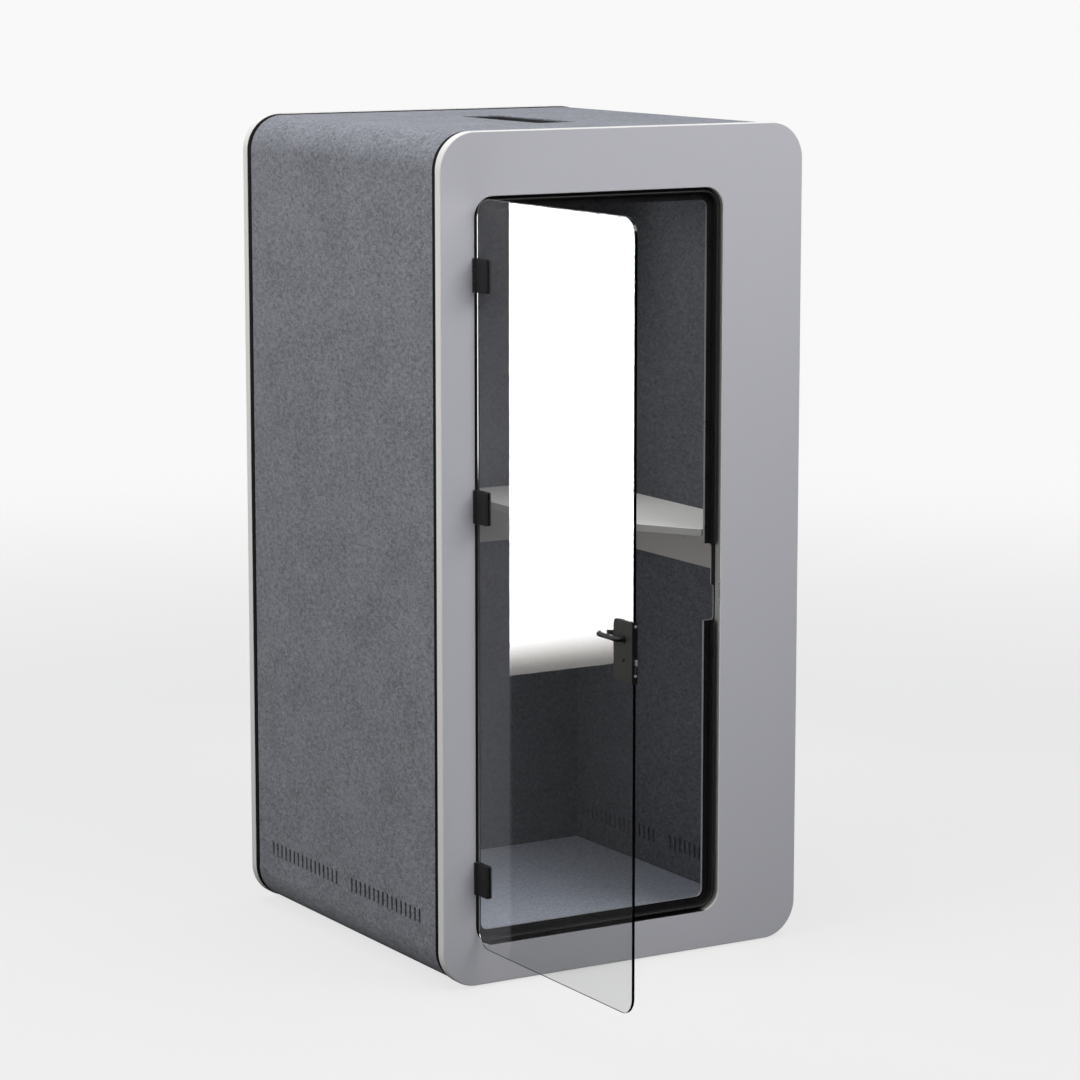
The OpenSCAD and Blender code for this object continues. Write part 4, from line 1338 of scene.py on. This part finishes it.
@dataclass
class Roof:
    """Recessed tray with grilles, the fans under it and the ceiling lamp."""

    centre_x: float = -0.010
    hub: Pair = (0.020, 0.0176)
    dome: Pair = (0.0208, 0.004)
    axle: Pair = (0.003, 0.005)
    foot: float = 2.143
    blades: int = 7
    blade: Triple = (0.0135, 0.007, 0.0007)
    twist: float = 22
    pitch: float = 36
    blade_at: float = 0.0315
    middle: float = 0.012

    def rotor(self, key: str, y: float) -> None:
        """Builds a rotor with a domed hub and twisted blades.

        Args:
            key: front or rear.
            y: where the fan lies.
        """
        blade = box("blade", [-size for size in self.blade], self.blade)
        pick(blade, Part.FACE, lambda f: True)
        bpy.ops.mesh.subdivide(number_cuts=7)
        deselect()
        apply_modifier(blade, "SIMPLE_DEFORM", deform_method="TWIST", angle=math.radians(self.twist),
                       deform_axis="X")
        pick(blade, Part.VERT, lambda v: True)
        bpy.ops.transform.rotate(value=-math.radians(self.pitch), orient_axis="X", center_override=(0, 0, 0))
        bpy.ops.transform.translate(value=(self.blade_at, 0, 0))
        deselect()
        parts, centre = [], (self.centre_x, y, self.foot + self.middle)
        for i in range(self.blades):
            activate(blade)
            bpy.ops.object.duplicate()
            parts.append(bpy.context.object)
            pick(parts[-1], Part.VERT, lambda v: True)
            bpy.ops.transform.rotate(value=i * math.tau / self.blades, orient_axis="Z",
                                     center_override=(0, 0, 0))
            bpy.ops.transform.translate(value=centre)
            deselect()
        bpy.data.objects.remove(blade, do_unlink=True)
        hub = drum("hub", Axis.Z, centre, *self.hub, 48)
        bevel(hub, level(Axis.Z, self.foot + self.dome[0]), self.dome[1], 5)
        axle = drum("axle", Axis.Z, (self.centre_x, y, self.foot + self.axle[1] / 2), *self.axle, 24)
        piece = smooth(join(f"fan_rotor_{key}_bladed", [hub, axle, *parts]), 40)
        place(piece, Stock.PLASTIC, f"fan_{key}", "black_plastic", f"fan_rotor_{key}")

    def build(self) -> None:
        """Builds tray, fans, lamp and feet."""
        adopt("roof_tray_folded", "roof_tray", 0.0004, Stock.METAL, "black_metal")
        for key, y in FAN_Y.items():
            adopt(f"fan_housing_{key}", f"fan_frame_{key}", 0.0008, Stock.PLASTIC, "black_plastic")
            self.rotor(key, y)
        adopt("lamp_ring", "ceiling_light", 0.0022, Stock.WHITE, "white_plastic", steps=4)
        adopt("lamp_diffuser", "light_diffuser", 0.0009, Stock.OPAL, "diffuser", steps=3)
        adopt("foot_set", "levelling_feet", 0.0012, Stock.PLASTIC, "black_plastic", steps=3)


@dataclass
class Studio:
    """Pale floor, backdrop, lamps and camera."""

    floor_glow: float = 0.725
    wall_glow: float = 0.945
    lens: float = 123.5
    eye: Triple = (-5.0609, -8.5965, 2.6965)
    tilt: float = 80.678
    turn: float = -30.836

    def floor(self) -> None:
        """Lays a floor that fades into the backdrop and keeps the pod's shadow."""
        deselect()
        bpy.ops.mesh.primitive_circle_add(vertices=96, radius=16, fill_type="NGON", location=(0, 0, 0))
        ground = named("studio_floor")
        r = Recipe("studio_floor_paint")
        r.tree.nodes.remove(r.shader)
        glow = r.math("MULTIPLY", r.seen(), self.floor_glow)
        tone = r.ramp(r.noise(0.6, 2), [(0.3, (0.985, 0.985, 0.985)), (0.7, (1, 1, 1))])
        both = r.add("AddShader", {0: r.add("Emission", {"Color": tone, "Strength": glow}),
                                   1: r.add("BsdfDiffuse", {"Color": (0.13, 0.129, 0.127, 1)})})
        away = r.add("VectorMath", {0: r.place}, out="Value", operation="LENGTH")
        fade = r.fit(away, 2.6, 9.0, 0, 1, "SMOOTHSTEP")
        ground.data.materials.append(r.surface(r.mix(fade, both, r.add("BsdfTransparent"))))
        ground.visible_glossy = False

    def backdrop(self) -> None:
        """Sets the world: white to the eye and through glass, dimmer as light."""
        world = bpy.data.worlds.new("studio_air")
        bpy.context.scene.world = world
        world.use_nodes = True
        w = Wiring(world.node_tree)
        w.tree.nodes.clear()
        height = w.add("SeparateXYZ", {0: w.add("TexCoord", out="Generated")}, out="Z")
        ambient = w.add("Background", {"Color": (0.93, 0.95, 1.0, 1),
                                       "Strength": w.fit(height, -0.1, 0.5, 0.02, 0.33, "SMOOTHSTEP")})
        white = w.add("Background", {"Color": (1, 1, 1, 1), "Strength": self.wall_glow})
        w.add("OutputWorld", {"Surface": w.mix(w.seen(), ambient, white)}, out=None)

    def panel(self, name: str, size: Pair, at: Triple, turn: float, light: Material, unseen_by: str) -> None:
        """Stands a glowing panel that isn't part of the object.

        Args:
            name: its name.
            size: width and height.
            at: its middle.
            turn: turn about the vertical in degrees.
            light: its glow.
            unseen_by: the kinds of ray that pass it.
        """
        deselect()
        bpy.ops.mesh.primitive_plane_add(size=1)
        bpy.ops.transform.resize(value=(*size, 1))
        panel = named(name)
        panel.rotation_euler = (math.pi / 2, 0, math.radians(turn))
        panel.location = at
        bpy.ops.object.transform_apply(location=True, rotation=True, scale=True)
        panel.data.materials.append(light)
        for ray in unseen_by.split():
            setattr(panel, f"visible_{ray}", False)

    def softbox(self) -> None:
        """Hangs the tall white panel, behind the pod to the left, that the glass mirrors."""
        r = Recipe("studio_softbox_glow")
        r.tree.nodes.remove(r.shader)
        rise = r.fit(r.add("SeparateXYZ", {0: r.place}, out="Z"), -0.065, 0.105, 0, 1, "SMOOTHSTEP")
        tone = r.ramp(rise, [(0, (1, 0.955, 0.905)), (1, (1, 1, 1))])
        strength = r.fit(rise, 0, 1, 2.0, 14.0)
        power = r.math("MULTIPLY", strength, r.fit(r.ray("Is Singular Ray"), 0, 1, 0.06, 1.0))
        light = r.surface(r.add("Emission", {"Color": tone, "Strength": power}))
        self.panel("studio_softbox", (5.0, 3.265), (-3.4, 3.2, 1.5675), 0, light,
                   "camera diffuse transmission shadow")

    def card(self) -> None:
        """Stands a white card to the front right that only the glass's own inner reflections find."""
        r = Recipe("studio_card_glow")
        r.tree.nodes.remove(r.shader)
        inner = r.math("GREATER_THAN", r.ray("Glossy Depth"), 0.5)
        rise = r.fit(r.add("SeparateXYZ", {0: r.place}, out="Z"), 0.85, 0.95, 0.4, 1.9, "SMOOTHSTEP")
        light = r.surface(r.mix(inner, r.add("BsdfTransparent"), r.add("Emission", {"Strength": rise})))
        self.panel("studio_card", (1.2, 1.45), (1.17, -3.37, 1.575), 29.8, light,
                   "camera diffuse glossy shadow")

    def lamp(self, name: str, at: Triple, target: Triple, size: Pair, power: float, tint: Triple = (1, 1, 1),
             spread: float = 180, mirrored: bool = True) -> None:
        """Hangs a soft area lamp.

        Args:
            name: its name.
            at: where it hangs.
            target: what it points at.
            size: width and height.
            power: watts.
            tint: its colour.
            spread: angle of its beam in degrees.
            mirrored: whether it shows in gloss.
        """
        deselect()
        bpy.ops.object.light_add(type="AREA", location=at)
        lamp = bpy.context.object
        lamp.name = name
        lamp.data.shape = "RECTANGLE"
        lamp.data.size, lamp.data.size_y = size
        lamp.data.energy = power
        lamp.data.color = tint
        lamp.rotation_euler = (Vector(target) - Vector(at)).to_track_quat("-Z", "Y").to_euler()
        lamp.data.spread = math.radians(spread)
        lamp.visible_camera = lamp.visible_transmission = False
        lamp.visible_glossy = mirrored

    def camera(self) -> None:
        """Sets the camera at the photograph's place and angle."""
        data = bpy.data.cameras.new("studio_camera")
        data.lens = self.lens
        data.sensor_width = 36
        camera = bpy.data.objects.new("studio_camera", data)
        camera.location = self.eye
        camera.rotation_euler = Euler((math.radians(self.tilt), 0, math.radians(self.turn)))
        bpy.context.scene.collection.objects.link(camera)
        bpy.context.scene.camera = camera

    def build(self) -> None:
        """Sets up the whole studio."""
        bpy.context.scene.view_settings.view_transform = "Standard"
        for step in (self.camera, self.floor, self.backdrop, self.softbox, self.card):
            step()
        for lamp in (
            ("lamp_over_front", (1.3, -3.3, 4.4), (0.1, -0.5, 1.5), (3.5, 2.2), 114),
            ("lamp_fill", (-2.4, -5.0, 1.9), (0, -0.5, 1.2), (3.0, 2.4), 20),
            ("lamp_left", (-5.5, -0.3, 4.0), (-0.5, 0, 1.5), (4.0, 3.0), 178),
            ("lamp_roof", (-0.6, 0.8, 5.4), (0, 0.2, 2.2), (3.5, 3.5), 100, (0.9, 0.935, 1.0)),
            ("lamp_cabin", (0.16, -0.18, 2.1), (0.16, -0.18, 0), (0.5, 0.5), 1.9, (1, 1, 1), 100, False),
            ("lamp_cabin_side", (-0.44, -0.1, 0.75), (0.4, -0.1, 0.7), (0.7, 1.1), 1.8, (1, 1, 1), 180,
             False),
        ):
            self.lamp(*lamp)


def dress_kept_nodes(nodes: dict[str, Object]) -> None:
    """Gives each CAD node that still shows its finish.

    Args:
        nodes: the frame's nodes by name.
    """
    finishes = {
        # the spacers' near-black is partly painted shade of the shadow gap
        "front_spacer": Stock.SHADOW, "rear_spacer": Stock.SHADOW, "carcass_shell": Stock.CARCASS,
        "acoustic_core": Stock.CORE, "rear_core": Stock.CORE, "front_core": Stock.CORE,
        "floor_deck": Stock.CARCASS, "strike_screws": Stock.STEEL, "leaf_screws": Stock.STEEL,
        "hinge_pads": Stock.RUBBER, "lock_body": Stock.METAL,
    }
    for name, finish in finishes.items():
        dress(nodes[name], finish)
        log.info("kept node %s in %s", name, finish.name)


def main() -> None:
    """Builds the pod's pieces on the frame and sets the studio."""
    logging.basicConfig(level=logging.INFO, format="%(name)s: %(message)s")
    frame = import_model()
    outline, slots, leaf = Outline(), Slots(), Leaf()
    Studio().build()
    dress_kept_nodes(frame["nodes"])
    panels = Panels(outline)
    panels.front()
    panels.rear()
    Shell(outline, slots).build()
    Cabin(slots, outline).build()
    DoorFrame(outline).build()
    GlassDoor(leaf).build()
    Hinges(leaf).build()
    Lock(leaf).build()
    Desk().build()
    Roof().build()
    deselect()


if __name__ == "__main__":
    main()
